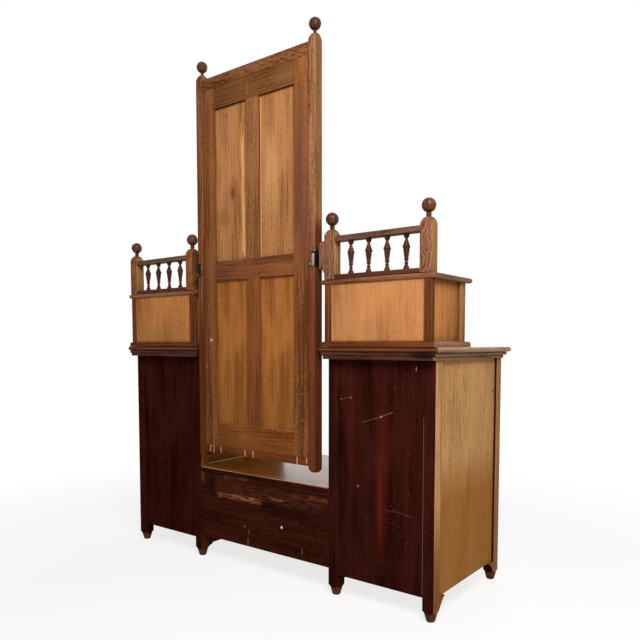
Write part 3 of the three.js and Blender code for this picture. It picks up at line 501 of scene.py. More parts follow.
# %% Finishes
FINISHES = {
    # Spirit stain on bare pine backs, never polished: no shine, red where it is thin, chipped pale
    "dark": dict(colour="#32120d", line=0.013, lines=0.15, fibre=0.16, pores=0.16, band=0.17,
                 cloud=0.26, shine=0.0, bump=0.3, marks=[("chips", (0.019, 0.0021), 0.5, "#8c6252")]),
    "dark_centre": dict(colour="#331309", line=0.013, lines=0.3, fibre=0.25, pores=0.25, band=0.25,
                        shine=0.01, bump=0.4, marks=[("chips", (0.022, 0.0023), 0.5, "#8c6a5a")]),
    "dark_worn": dict(colour="#3a160e", shine=0.02),
    "foot": dict(colour="#4f2c1f", depth=0.6, rough=(0.45, 0.6),
                 marks=[("chips", (0.02, 0.002), 0.4, "#b07a5a")]),
    # Shellac over bare pine, faded by the light: honey, with clear lines
    # The upward marks of honey, honey_post and front_post make them darker and more ochre towards the
    # floor: painted shade, for the light that falls off downwards.
    "honey": dict(colour="#b58754", depth=0.4, lines=0.3, fibre=0.12, band=0.08, cloud=0.14,
                  marks=[("upward", (0.33, 0.52), 0.8, "#895308")]),
    "honey_post": dict(colour="#af8055", depth=0.4, marks=[("upward", (0.08, 0.45), 0.88, "#733e0c")]),
    "front_post": dict(colour="#966a40", depth=0.4, marks=[("upward", (0.1, 0.5), 0.5, "#794e23")]),
    "honey_worn": dict(colour="#b48a5c", depth=0.3),
    # inner has a golden band below 0.45 to 0.55 m, painted reflected light, and turns near black below
    # 0.30 to 0.40 m, painted shade under the centre top.
    "inner": dict(colour="#75421a", marks=[("upward", (0.45, 0.55), 0.9, "#9b5c14"),
                                           ("upward", (0.30, 0.40), 0.9, "#220a06")]),
    # Thinly stained panels of the mirror's back: golden, with fine lines
    "golden_high": dict(colour="#a47044", depth=0.42, line=0.011, lines=0.34, band=0.14, cloud=0.14),
    "golden_low": dict(colour="#955c2c", depth=0.42, line=0.011, lines=0.35, fibre=0.24, band=0.16,
                       cloud=0.24),
    # Thin panels of the small boxes, hardly stained
    "tan": dict(colour="#b17848", depth=0.36, line=0.014, lines=0.08, fibre=0.1, pores=0.09,
                band=0.08, cloud=0.18),
    "tan_deep": dict(colour="#b37440", depth=0.36, line=0.02, lines=0.2, fibre=0.12, pores=0.18,
                     band=0.08, cloud=0.22),
    # Brown stain and wax on rails and edges
    "brown": dict(colour="#5e3117", lines=0.4),
    "brown_worn": dict(colour="#8a5434", depth=0.4),
    # The inside edges of a frame: the side faces darker, the undersides dark with painted shade under
    # the rails, the upper faces pale with wear and painted light from above
    "edge_dark": dict(colour="#6e4224", depth=0.4),
    "edge_deep": dict(colour="#3a1c10", depth=0.3),
    "edge_light": dict(colour="#96775c", line=0.01),
    # Gallery posts: flat-sawn and stained on the back, golden on the sides
    "post": dict(colour="#6d4632", depth=0.62, line=0.010, lines=0.9, wander=7.0, curl=2.2,
                 marks=[("curls", (0.010, 15.0), 0.4, "#c08e6e")]),
    "post_gold": dict(colour="#7e502d", depth=0.55, line=0.010, lines=0.9, wander=6.0, curl=1.2),
    "post_side": dict(colour="#90673f", depth=0.4, lines=0.35),
    # post_shade is post_side darkened: painted shade for the right gallery's inner post and its ear,
    # which stand in shadow.
    "post_shade": dict(colour="#694129", depth=0.6, lines=0.6, band=0.25),
    "post_rim": dict(colour="#6a4228", depth=0.5),
    "box_stile": dict(colour="#61331c", fibre=0.3, band=0.3),
    "box_side": dict(colour="#ac723d", depth=0.36, line=0.010, lines=0.35, fibre=0.16),
    "box_front": dict(colour="#96673a", depth=0.4),
    # Turned work, stained in the lathe and burnished with shavings: dark, with small lights
    "ball": dict(colour="#52301a", depth=0.8, line=0.009, lines=0.6, curl=1.2, rough=(0.25, 0.35),
                 shine=0.08, gloss=0.10, bump=0.1),
    "turned": dict(colour="#412112", depth=0.6, line=0.009, rough=(0.3, 0.45), shine=0.06,
                   gloss=0.06, bump=0.12),
    "rail": dict(colour="#644734", depth=0.55, band=0.2),
    "low_rail": dict(colour="#4f2c1c", depth=0.55, lines=0.4),
    # French-polished tops and their edges
    "top": dict(colour="#7c5028", depth=0.45, rough=(0.3, 0.45), shine=0.35, gloss=0.25, bump=0.12),
    "top_edge": dict(colour="#552714", depth=0.6, line=0.008, lines=0.3),
    "moulding": dict(colour="#482a22", depth=0.6, line=0.008, lines=0.4, band=0.2),
    "box_edge": dict(colour="#825339", depth=0.6, line=0.008, band=0.25),
    "end_brown": dict(colour="#7e5e46", depth=0.6, line=0.008),
    "polished": dict(colour="#7e4702", depth=0.45, cloud=0.25, rough=(0.25, 0.35), shine=0.5,
                     gloss=0.5, bump=0.06),
    "front": dict(colour="#85522e", depth=0.45, lines=0.45, rough=(0.35, 0.5), shine=0.3, gloss=0.15),
    # Bare pine inside the drawers
    "lining": dict(colour="#c79a62", depth=0.35, rough=(0.65, 0.8)),
    # The mirror's members
    "stile": dict(colour="#754725", line=0.014, lines=0.55, fibre=0.26, pores=0.22, band=0.28,
                  cloud=0.24),
    "frame_high": dict(colour="#6a4322", depth=0.45, line=0.013, lines=0.25, pores=0.18, band=0.12),
    "frame_low": dict(colour="#74421a", depth=0.4, line=0.013, lines=0.4, pores=0.16, band=0.12),
    "muntin_high": dict(colour="#895a37", depth=0.45, line=0.013, lines=0.35, pores=0.18),
    "muntin_low": dict(colour="#784521", depth=0.4, line=0.013, lines=0.4, pores=0.16),
    "lock": dict(colour="#734327", line=0.013, lines=0.3, pores=0.16, band=0.2),
    "frame_worn": dict(colour="#7c4a28", depth=0.4),
    # Below the pivot the mirror posts darken, the side faces most: partly a darker stain, partly painted
    # shade where the galleries and pedestals shadow them.
    "mirror_post": dict(colour="#936446", line=0.010, fibre=0.3, pores=0.2,
                        marks=[("upward", (0.92, 1.55), 0.85, "#5a260e")]),
    "mirror_post_gold": dict(colour="#75482a", line=0.010, lines=0.7, fibre=0.4, pores=0.3, band=0.25,
                             marks=[("upward", (0.85, 1.1), 0.8, "#4e1e09")]),
    "mirror_side": dict(colour="#7e5734", line=0.010,
                        marks=[("upward", (1.2, 1.27), 0.85, "#43170a")]),
    "mirror_top": dict(colour="#74492a", depth=0.6, line=0.011, wander=6.0, curl=0.8, pores=0.2),
    "mirror_low": dict(colour="#643215", lines=0.3, band=0.2),
}
WORN = {name: name for name in ("post_side", "post_shade", "mirror_low", "mirror_side", "low_rail",
                                "box_front", "box_side", "rail", "box_stile")}
WORN |= {"dark": "dark_worn", "honey": "honey_worn", "honey_post": "honey_worn", "tan": "honey_worn",
         "lining": "honey_worn", "stile": "frame_worn", "mirror_top": "frame_worn",
         "top": "top_edge", "polished": "moulding"}
STOCK_SHIFT = Vector((0.37, 0.53, 0.29))
made_finishes = {}


def finish(name, grain="Z", stock=0):
    """A finish with its grain along an axis, cut from a numbered plank. Made when first asked for."""
    key = f"pine_{name}_{grain}_{stock}"
    if key not in made_finishes:
        made_finishes[key] = wood(key, grain=grain, centre=tuple(STOCK_SHIFT * stock), **FINISHES[name])
    return made_finishes[key]


def planed(name, grain="Z", stock=0):
    """The materials of a planed board: its faces and its worn arrises."""
    return finish(name, grain, stock), finish(WORN.get(name, "brown_worn"), grain)


def own_wood(name, base, low, high, grain="Z", heart=None, marks=()):
    """Wood of one board alone, centred on its box, with its own heart and marks."""
    settings = dict(FINISHES[base])
    settings["marks"] = [*FINISHES[base].get("marks", []), *marks]
    centre = tuple((Vector(low) + Vector(high)) / 2)
    return wood(f"pine_{name}", grain=grain, centre=centre, heart=heart, **settings)


# %% [markdown]
# ## Boards
# A board starts as a cube at its size and place. Its arrises are then eased with a bevel, as a
# joiner does with a few strokes of sandpaper. The bevel's faces take the second material, the
# worn one. A nosed board has all its long edges worked round, which is a wide bevel.

# %% Board helpers
ARRIS = 0.0011
SMOOTH_ANGLE = math.radians(35)


def pick(piece):
    """Selects one piece alone and makes it active."""
    bpy.ops.object.select_all(action="DESELECT")
    piece.select_set(True)
    bpy.context.view_layer.objects.active = piece


def settled(name):
    """Names the active object, puts its place into its mesh and returns it."""
    piece = bpy.context.active_object
    piece.name = name
    piece.data.name = name
    bpy.ops.object.transform_apply(location=True, rotation=True, scale=True)
    return piece


def dress(piece, *materials):
    """Gives a piece its materials, the face's first."""
    piece.data.materials.clear()
    for material in materials:
        piece.data.materials.append(material)


def stain(piece, index, chosen):
    """Gives a material to the faces that chosen(centre, normal) picks."""
    for face in piece.data.polygons:
        if chosen(face.center, face.normal):
            face.material_index = index


def applied(piece, kind, **settings):
    """Adds a modifier with its settings and applies it."""
    pick(piece)
    modifier = piece.modifiers.new(kind.lower(), kind)
    for key, value in settings.items():
        setattr(modifier, key, value)
    bpy.ops.object.modifier_apply(modifier=modifier.name)


def smoothed(piece):
    pick(piece)
    bpy.ops.object.shade_smooth_by_angle(angle=SMOOTH_ANGLE)
    return piece


def eased(piece, width=ARRIS, segments=2):
    """Rounds every sharp arris and gives it the worn material."""
    applied(piece, "BEVEL", width=width, segments=segments, limit_method="ANGLE",
            angle_limit=SMOOTH_ANGLE, material=1)
    return smoothed(piece)


def plain_block(name, low, high):
    """A sharp block between two corners."""
    bpy.ops.object.select_all(action="DESELECT")
    low, high = Vector(low), Vector(high)
    bpy.ops.mesh.primitive_cube_add(size=1, location=(low + high) / 2)
    bpy.context.active_object.scale = [abs(v) for v in high - low]
    return settled(name)


def cut_away(piece, low, high):
    """Saws the space between two corners out of a piece."""
    tool = plain_block("saw", low, high)
    applied(piece, "BOOLEAN", operation="DIFFERENCE", object=tool, solver="EXACT")
    bpy.data.objects.remove(tool)


def board(name, low, high, materials, arris=ARRIS, cuts=()):
    """A planed board between two corners with eased arrises. cuts are (low, high) of its grooves."""
    piece = plain_block(name, low, high)
    dress(piece, *materials)
    for cut in cuts:
        cut_away(piece, *cut)
    return eased(piece, arris)


def nosed_board(name, low, high, nose, materials, cuts=(), segments=5):
    """A board whose upper and lower edges are worked round all the way about."""
    piece = plain_block(name, low, high)
    dress(piece, *materials)
    for edge in piece.data.edges:
        a, b = (piece.data.vertices[i].co for i in edge.vertices)
        edge.select = abs(a.z - b.z) < 1e-5
    for face in piece.data.polygons:
        face.select = False
    bpy.ops.object.mode_set(mode="EDIT")
    bpy.ops.mesh.select_mode(type="EDGE")
    bpy.ops.mesh.bevel(offset=nose, segments=segments, profile=0.5, affect="EDGES", material=1)
    bpy.ops.object.mode_set(mode="OBJECT")
    for cut in cuts:
        cut_away(piece, *cut)
    return smoothed(piece)


# %% [markdown]
# ## Sections carried along a line
# Brackets, boards with notches and ears have an outline that is the same all the way through.
# A circle with as many points as the outline is laid on it, and its face is extruded.

# %% Section helper
def section(name, outline, axis, start, end, materials, arris=ARRIS):
    """An outline of two coordinates carried along an axis from start to end."""
    bpy.ops.object.select_all(action="DESELECT")
    bpy.ops.mesh.primitive_circle_add(vertices=len(outline), fill_type="NGON")
    piece = settled(name)
    dress(piece, *materials)
    for vertex, (a, b) in zip(piece.data.vertices, outline):
        vertex.co = SECTION_PLACE[axis](start, a, b)
    bpy.ops.object.mode_set(mode="EDIT")
    bpy.ops.mesh.select_all(action="SELECT")
    travel = SECTION_PLACE[axis](end - start, 0, 0)
    bpy.ops.mesh.extrude_region_move(TRANSFORM_OT_translate={"value": travel})
    bpy.ops.mesh.select_all(action="SELECT")
    bpy.ops.mesh.normals_make_consistent(inside=False)
    bpy.ops.object.mode_set(mode="OBJECT")
    return eased(piece, arris) if arris else smoothed(piece)


def curve_through(start, control, end, steps):
    """Points on a quadratic curve from start to end, pulled towards control."""
    points = []
    for i in range(steps + 1):
        t = i / steps
        points.append(tuple(
            (1 - t) ** 2 * start[k] + 2 * t * (1 - t) * control[k] + t ** 2 * end[k] for k in (0, 1)
        ))
    return points


# %% [markdown]
# ## Turning
# Feet, spindles, finials and knobs are turned on a lathe. Here too the work goes ring by ring:
# a circle is extruded along the axis and scaled to the next radius of the outline.
# A post with a turned end is a square post that was put into the lathe: the tool takes away only
# what stands out of the round, so the post is the square and the turning in common.

# %% The lathe
TURNING_STEPS = 40


def turned_piece(name, outline, materials, steps=TURNING_STEPS):
    """Turns an outline of (radius, height) points about the Z axis."""
    bpy.ops.object.select_all(action="DESELECT")
    radius, level = outline[0]
    bpy.ops.mesh.primitive_circle_add(vertices=steps, radius=radius, fill_type="NGON",
                                      location=(0, 0, level))
    piece = settled(name)
    dress(piece, *materials)
    bpy.ops.object.mode_set(mode="EDIT")
    bpy.ops.mesh.select_mode(type="FACE")
    bpy.ops.mesh.select_all(action="SELECT")
    for new_radius, new_level in outline[1:]:
        bpy.ops.mesh.extrude_region_move(TRANSFORM_OT_translate={"value": (0, 0, new_level - level)})
        ratio = new_radius / radius
        bpy.ops.transform.resize(value=(ratio, ratio, 1), center_override=(0, 0, new_level))
        radius, level = new_radius, new_level
    bpy.ops.mesh.select_all(action="SELECT")
    bpy.ops.mesh.normals_make_consistent(inside=False)
    bpy.ops.object.mode_set(mode="OBJECT")
    return smoothed(piece)


def turned_post(name, width, depth, outline, materials):
    """A square post about the Z axis whose ends are turned to an outline."""
    turning = turned_piece("turning", outline, (materials[0],), steps=48)
    post = board(name, (-width / 2, -depth / 2, outline[0][1]),
                 (width / 2, depth / 2, outline[-1][1]), materials)
    applied(post, "BOOLEAN", operation="INTERSECT", object=turning, solver="EXACT")
    bpy.data.objects.remove(turning)
    return smoothed(post)


def moved(piece, name, place, tip=None):
    """Tips a piece about the origin, moves it to its place and settles it there."""
    pick(piece)
    if tip:
        piece.rotation_euler = tip
    piece.location = place
    return settled(name)


def copied(piece, name, shift, tip=None):
    """A copy with its own mesh, tipped and moved."""
    pick(piece)
    bpy.ops.object.duplicate(linked=False)
    copy = bpy.context.active_object
    copy.data = copy.data.copy()
    return moved(copy, name, shift, tip)


def seat(piece, body, slot, *replaced):
    """The piece rides on a body and stands for CAD nodes. Its slot is not used."""
    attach(piece, body)
    if replaced:
        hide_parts(*replaced)
    return piece


def show(text, pieces):
    """Prints what was made, with its faces."""
    print(text, len(pieces), "pieces,", sum(len(p.data.polygons) for p in pieces), "faces")


# %% [markdown]
# ## Posts and feet
# Each pedestal has four square posts that end in a turned foot. The whole lower end was turned,
# so the corners run out in a sloping shoulder above the foot. One post is made and copied.
# The backs were stained nearly black with the feet, and the outer sides stayed golden.

# %% One post with its turned foot
POST_WIDTH = 0.038
POST_DEPTH = 0.040
GLUE = 0.0003
SHOULDER = 0.038
FOOT_OUTLINE = [
    (0.0095, 0.0), (0.0118, 0.0009), (0.0134, 0.0024), (0.0143, 0.0048), (0.0151, 0.0085),
    (0.0168, 0.0145), (0.0185, 0.0205), (0.0202, 0.0262), (0.0206, 0.0278), (0.0201, 0.0283),
    (0.0207, 0.0290), (0.0226, 0.0302), (0.0296, SHOULDER),
]
post_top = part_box("right_back_post_outer")[1].z
post_blank = turned_post("post_blank", POST_WIDTH, POST_DEPTH,
                         FOOT_OUTLINE + [(FOOT_OUTLINE[-1][0], post_top)], planed("dark"))


def carcass_post(name, x, y, outer, back):
    """A copy of the post at its place. outer is the direction of the side that is seen, or 0."""
    post = copied(post_blank, name, (x, y, 0))
    side_wood = finish("honey_post" if back else "front_post", stock=5) if outer else finish("inner")
    dress(post, finish("dark", stock=int(x * 40)), finish("dark_worn"), side_wood, finish("foot"),
          finish("front"))
    shown = outer or (1 if x < 0 else -1)
    stain(post, 2, lambda centre, normal: normal.x * shown > 0.7)
    stain(post, 4, lambda centre, normal: not back and normal.y < -0.7)
    stain(post, 3, lambda centre, normal: (
        centre.z < SHOULDER - 0.002 and abs(normal.x) < 0.98 and abs(normal.y) < 0.98))
    return post


show("post blank", [post_blank])

# %% [markdown]
# ## Pedestals
# A pedestal is a cage: four posts, panels in grooves between them, three dust boards that carry
# the drawers on guides, a rail at the top and the top board with a bead and a fascia under it.
# Small brackets fill the corners between the feet and the side panels. The outer ones are taller.

# %% Pedestal pieces
BRACKET_LENGTH = {"outer": 0.037, "inner": 0.020}
BRACKET_TIP = 0.0015
BRACKET_BOTTOM = 0.036
BRACKET_PULL = (0.46, 0.72)
GROOVE = 0.0073
BOARD_THICKNESS = 0.018
BOARD_SETBACK = 0.002
GUIDE_HEIGHT = 0.020
TOP_THICKNESS = 0.017
BEAD_HEIGHT = 0.011
TOP_NOSE = 0.008
BEAD_NOSE = 0.004
BEAD_INSET = (0.008, 0.020, 0.002)  # at the ends, the front and the back
FASCIA_INSET = (0.015, 0.033, 0.004)
SIDES = (("right", 1), ("left", -1))


def bracket_outline(edge, toward, length, roof):
    """From a post's edge down to the tip and in a curve up to the panel."""
    tip, far = edge + toward * BRACKET_TIP, edge + toward * length
    pull = (tip + (far - tip) * BRACKET_PULL[0],
            BRACKET_BOTTOM + (roof - BRACKET_BOTTOM) * BRACKET_PULL[1])
    curve = curve_through((tip, BRACKET_BOTTOM), pull, (far, roof), 10)
    return [(edge, BRACKET_BOTTOM), *curve, (edge, roof)]


def make_posts(side, sign):
    """The four posts of a pedestal with their brackets."""
    made = []
    for row, outer in (("outer", sign), ("inner", 0)):
        low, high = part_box(f"{side}_back_post_{row}")
        panel_low, panel_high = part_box(f"{side}_side_panel_{row}")
        x = (low.x + high.x) / 2
        front_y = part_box(f"{side}_carcass_frame")[0].y + POST_DEPTH / 2
        for end, y, toward in (("back", high.y - POST_DEPTH / 2, -1), ("front", front_y, 1)):
            post = carcass_post(f"{side}_{end}_post_{row}_turned", x, y, outer, end == "back")
            edge = y + toward * POST_DEPTH / 2
            groove = sorted((edge + toward * 0.0001, edge - toward * GROOVE))
            cut_away(post, (panel_low.x - GLUE, groove[0], panel_low.z - GLUE),
                     (panel_high.x + GLUE, groove[1], post_top + 0.01))
            outline = bracket_outline(edge, toward, BRACKET_LENGTH[row], panel_low.z - GLUE)
            direction = sign if row == "outer" else -sign
            across = (x + direction * POST_WIDTH / 2, panel_low.x if direction > 0 else panel_high.x)
            woods = (finish("dark"), finish("dark_worn"), finish("honey_post", "Z", 6))
            bracket = section(f"{side}_{end}_bracket_{row}", outline, "X", *across, woods, arris=0.0007)
            if outer:
                stain(bracket, 2, lambda centre, normal: normal.x * outer > 0.7 or normal.z > 0.7)
            node = f"{side}_back_post_{row}" if end == "back" else f"{side}_carcass_frame"
            slot = "dark_stained_pine" if end == "back" else "honey_pine"
            made += [seat(post, "carcass", slot, node), seat(bracket, "carcass", slot, node)]
    return made


def make_boards(side):
    """Dust boards with their drawer guides, and the rail over the top drawer."""
    low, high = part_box(f"{side}_carcass_frame")
    x = (low.x + high.x) / 2
    inner = (high.x - low.x) / 2 - POST_WIDTH
    panel_low, panel_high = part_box(f"{side}_side_panel_outer")
    wide = min(abs(panel_low.x - x), abs(panel_high.x - x)) - GLUE
    front = low.y + BOARD_SETBACK
    posts_back = low.y + POST_DEPTH
    back_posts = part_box(f"{side}_back_post_outer")[1].y - POST_DEPTH - GLUE
    made = []
    for row in ("low", "middle", "top"):
        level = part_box(f"{side}_{row}_drawer_box")[0].z - GLUE - BOARD_THICKNESS
        half_outline = [(inner, front), (inner, posts_back), (wide, posts_back), (wide, back_posts),
                        (inner - GLUE, back_posts), (inner - GLUE, high.y)]
        outline = [(x + a, b) for a, b in half_outline] + [(x - a, b) for a, b in reversed(half_outline)]
        made.append(section(f"{side}_{row}_dust_board", outline, "Z", level, level + BOARD_THICKNESS,
                            (*planed("lining", "X"), finish("brown_worn", "X")), arris=0.0008))
        stain(made[-1], 2, lambda centre, normal: normal.y < -0.7)
        for hand, sign in (("right", 1), ("left", -1)):
            across = sorted((x + sign * wide, x + sign * inner))
            made.append(board(f"{side}_{row}_drawer_guide_{hand}",
                              (across[0], posts_back, level + BOARD_THICKNESS),
                              (across[1], back_posts, level + BOARD_THICKNESS + GUIDE_HEIGHT),
                              planed("lining", "Y")))
    rail_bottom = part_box(f"{side}_pedestal_top")[0].z
    made.append(board(f"{side}_top_rail", (x - inner, front, rail_bottom),
                      (x + inner, posts_back, high.z), planed("brown", "X")))
    return [seat(piece, "carcass", "honey_pine", f"{side}_carcass_frame") for piece in made]


def make_top(side, sign):
    """The top board, the bead and the fascia of a pedestal. Their outer ends are paler: faded and worn,
    with painted light as well.
    """
    low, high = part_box(f"{side}_pedestal_top")
    frame_low, frame_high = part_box(f"{side}_carcass_frame")
    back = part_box(f"{side}_back_post_outer")[1].y
    hollow = (Vector((frame_low.x - GLUE, frame_low.y - GLUE, low.z - 0.01)),
              Vector((frame_high.x + GLUE, back + GLUE, frame_high.z + GLUE)))
    board_level = high.z - TOP_THICKNESS
    bead_level = board_level - BEAD_HEIGHT
    stock = 1 if side == "right" else 2
    black = [("spot", ((-0.672, high.y, board_level - 0.008), (0.07, 0.03, 0.016)), 0.95, "#140805")]
    edge = own_wood(f"{side}_top_edge", "top_edge", low, high, "X", marks=black)
    moulding = own_wood(f"{side}_moulding", "moulding", low, high, "X", marks=black)
    woods = (moulding, moulding, finish("end_brown", "Y"))
    top = nosed_board(f"{side}_top_board", (low.x, low.y, board_level), high, TOP_NOSE,
                      (finish("top", "X", stock), edge, finish("edge_light", "Y", stock)))

    def inset(ends, front, rear, bottom, roof):
        return (low.x + ends, low.y + front, bottom), (high.x - ends, high.y - rear, roof)

    bead = nosed_board(f"{side}_top_bead", *inset(*BEAD_INSET, bead_level, board_level), BEAD_NOSE,
                       woods, cuts=[hollow])
    fascia = board(f"{side}_top_fascia", *inset(*FASCIA_INSET, low.z, bead_level), woods,
                   cuts=[hollow])
    for piece in (top, bead, fascia):
        stain(piece, 2, lambda centre, normal: normal.x * sign > 0.3)
        seat(piece, "carcass", "polished_top", f"{side}_pedestal_top")
    return [top, bead, fascia]


for side, sign in SIDES:
    show(f"{side} pedestal", [*make_posts(side, sign), *make_boards(side), *make_top(side, sign)])
bpy.data.objects.remove(post_blank)

# %% [markdown]
# ## Small drawer boxes
# Each pedestal carries a box for one small drawer. Its corner stiles stand proud of the sides,
# the back panel sits in grooves, a rounded board makes its base and another its top.

# %% Box pieces
BOX_NOSE = 0.008
BOX_TOP_NOSE = 0.007
BOX_STILE = 0.025
BOX_BACK_STILE_DEPTH = 0.020
BOX_FRONT_STILE_DEPTH = 0.040
BOX_SIDE_RECESS = 0.008
BOX_OVERHANG = 0.012
BOX_FRONT_OVERHANG = 0.018
BOX_BACK_OVERHANG = 0.004
BOX_RAIL_HEIGHT = 0.014
BOX_RAIL_DEPTH = 0.020


def make_box(side, sign, stock):
    """The case of a small drawer box and its top board."""
    low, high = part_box(f"{side}_box_case")
    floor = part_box(f"{side}_jewel_drawer")[0].z - GLUE
    body_low = Vector((low.x + BOX_OVERHANG, low.y + BOX_FRONT_OVERHANG, floor))
    body_high = Vector((high.x - BOX_OVERHANG, high.y - BOX_BACK_OVERHANG, high.z))
    under = (Vector((low.x - 1, low.y - 1, low.z - 0.02)), Vector((high.x + 1, high.y + 1, low.z)))
    brown = finish("brown", "X", stock)
    made = [nosed_board(f"{side}_box_base", (low.x, low.y, low.z - BOX_NOSE),
                        (high.x, high.y, body_low.z), BOX_NOSE, (brown, brown, finish("end_brown", "Y")),
                        cuts=[under])]
    stain(made[0], 2, lambda centre, normal: normal.x * sign > 0.3)
    panel_low, panel_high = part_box(f"{side}_box_back_panel")
    groove = (panel_low - Vector((GLUE, GLUE, 0)), panel_high + Vector((GLUE, GLUE, 0.01)))
    back_stile = body_high.y - BOX_BACK_STILE_DEPTH
    front_stile = body_low.y + BOX_FRONT_STILE_DEPTH
    for hand, x0, x1 in (("west", body_low.x, body_low.x + BOX_STILE),
                         ("east", body_high.x - BOX_STILE, body_high.x)):
        made.append(board(f"{side}_box_back_stile_{hand}", (x0, back_stile, body_low.z),
                          (x1, body_high.y, body_high.z), planed("box_stile", stock=stock),
                          arris=0.0008, cuts=[groove]))
        woods = (*planed("box_front", stock=stock), finish("edge_dark"))
        made.append(board(f"{side}_box_front_stile_{hand}", (x0, body_low.y, body_low.z),
                          (x1, front_stile, body_high.z), woods, arris=0.0008))
        stain(made[-1], 2, lambda centre, normal: normal.y > 0.7)
        recess = BOX_SIDE_RECESS if hand == "west" else 0
        made.append(board(f"{side}_box_side_{hand}", (x0 + recess, front_stile, body_low.z),
                          (x1 - BOX_SIDE_RECESS + recess, back_stile, body_high.z),
                          planed("box_side", stock=stock + 3), arris=0.0005))
    rail_front = body_low.y + BOARD_SETBACK
    made.append(board(f"{side}_box_rail",
                      (body_low.x + BOX_STILE, rail_front, body_high.z - BOX_RAIL_HEIGHT),
                      (body_high.x - BOX_STILE, rail_front + BOX_RAIL_DEPTH, body_high.z),
                      planed("brown", "X")))
    for piece in made:
        seat(piece, "carcass", "golden_pine", f"{side}_box_case")
    woods = (finish("top", "X", stock), finish("box_edge", "X", stock), finish("end_brown", "Y", stock))
    top = nosed_board(f"{side}_box_top_board", *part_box(f"{side}_box_top"), BOX_TOP_NOSE, woods)
    stain(top, 2, lambda centre, normal: normal.x * sign > 0.3)
    return made + [seat(top, "carcass", "polished_top", f"{side}_box_top")]


for stock, (side, sign) in enumerate(SIDES, 1):
    show(f"{side} small box", make_box(side, sign, stock))

# %% [markdown]
# ## Galleries
# A gallery is a low balustrade of four turned spindles between two rails and two posts. The posts
# are domed in the lathe and carry a ball on a ringed neck. The inner post has an ear, a shaped
# block that reaches towards the mirror and carries its pivot.

# %% Gallery pieces
GALLERY_POST = 0.038
GALLERY_BOTTOM_RAIL = 0.014
GALLERY_TOP_RAIL = 0.017
POST_SHOULDER = 0.002
DOME_HEIGHT = 0.0225
BALL_RADIUS = 0.0213
NECK_RADIUS = 0.0084
NECK_HEIGHT = 0.012
EAR_LENGTH = 0.0205
EAR_TOP = 0.036
EAR_SLOPE = 0.012
EAR_HEIGHT = 0.1055
EAR_HOOK = 0.0165
SPINDLE_RADIUS = 0.0118
SPINDLE_COUNT = 4
SPINDLE_END_ROOM = 0.0537
POST_HEART = (0.014, -0.03, 0.06, 0.14)
DOME_SHARES = [(1, 0), (0.965, 0.12), (0.91, 0.27), (0.86, 0.385), (0.79, 0.5), (0.7, 0.64), (0.6, 0.78),
               (0.46, 0.885), (0.33, 0.95), (0.26, 1)]
NECK_SHARES = [(0.78, 0), (0.77, 0.1), (0.8, 0.17), (0.92, 0.23), (1, 0.31), (1, 0.52), (0.93, 0.6),
               (0.82, 0.66), (0.93, 0.72), (1, 0.78), (1, 0.86), (0.86, 0.94), (0.7, 0.97)]
SPINDLE_SHARES = [
    (0.78, 0), (0.8, 0.02), (0.78, 0.04), (0.68, 0.065), (0.59, 0.1), (0.45, 0.125), (0.36, 0.14),
    (0.42, 0.15), (0.5, 0.163), (0.52, 0.178), (0.5, 0.194), (0.42, 0.207), (0.36, 0.218), (0.36, 0.24),
    (0.48, 0.255), (0.59, 0.269), (0.61, 0.282), (0.59, 0.295), (0.53, 0.305), (0.52, 0.319),
    (0.6, 0.385), (0.7, 0.459), (0.78, 0.53), (0.85, 0.6), (0.86, 0.612), (0.97, 0.622), (1, 0.632),
    (1, 0.65), (0.95, 0.664), (0.85, 0.69), (0.74, 0.723), (0.6, 0.77), (0.47, 0.816), (0.39, 0.842),
    (0.37, 0.858), (0.4, 0.872), (0.5, 0.886), (0.64, 0.915), (0.74, 0.94), (0.79, 0.97), (0.8, 1),
]


def scaled(shares, radius, length, level=0.0):
    """Shares of a radius and a length as an outline that starts at a level."""
    return [(radius * r, level + length * h) for r, h in shares]


def ball_outline(ball, neck, height):
    """A ringed neck and a ball with a fine turned line at its waist."""
    points = [(neck * NECK_SHARES[0][0], -height / 3), *scaled(NECK_SHARES, neck, height)]
    start = math.asin(neck * NECK_SHARES[-1][0] / ball)
    centre = height + ball * math.cos(start)
    steps = 20
    for i in range(steps + 1):
        angle = start + (math.pi - 0.02 - start) * i / steps
        points.append((ball * math.sin(angle), centre - ball * math.cos(angle)))
    waist = max(range(len(points)), key=lambda i: points[i][0])
    line = [(0.999, -0.0009), (0.97, -0.0003), (0.97, 0.0003), (0.999, 0.0009)]
    points[waist:waist + 1] = [(ball * share, points[waist][1] + rise) for share, rise in line]
    return points


def ball_height(ball, neck, height):
    """From the foot of the neck to the top of the ball."""
    return height + ball * (1 + math.cos(math.asin(neck * NECK_SHARES[-1][0] / ball)))


def domed_outline(corner, bottom, shoulder, dome):
    """The turning of a post with a domed top."""
    return [(corner + 0.002, bottom), (corner + 0.002, shoulder - 0.002),
            *scaled(DOME_SHARES, corner, dome, shoulder)]


gallery_ball = turned_piece("gallery_ball", ball_outline(BALL_RADIUS, NECK_RADIUS, NECK_HEIGHT),
                            (finish("ball"),))
gallery_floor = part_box("right_box_top")[1].z + GLUE
gallery_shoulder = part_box("right_gallery_spindles")[1].z + POST_SHOULDER
gallery_top = gallery_shoulder + DOME_HEIGHT
gallery_blank = turned_post(
    "gallery_blank", GALLERY_POST, GALLERY_POST,
    domed_outline(GALLERY_POST / math.sqrt(2), gallery_floor, gallery_shoulder, DOME_HEIGHT),
    planed("post_side"))


def ear_outline(face, toward):
    """The ear's outline in X and Z, from its hook up to its sloping top."""
    end = face + toward * EAR_LENGTH
    high = gallery_top - EAR_TOP
    hook_level = high - EAR_HEIGHT + EAR_HOOK
    hook = curve_through((face, high - EAR_HEIGHT), (face + toward * EAR_LENGTH * 0.3, hook_level),
                         (end, hook_level), 8)
    slope = curve_through((end, high - EAR_SLOPE), (end - toward * 0.003, high - 0.003), (face, high), 6)
    return [*hook, *slope]


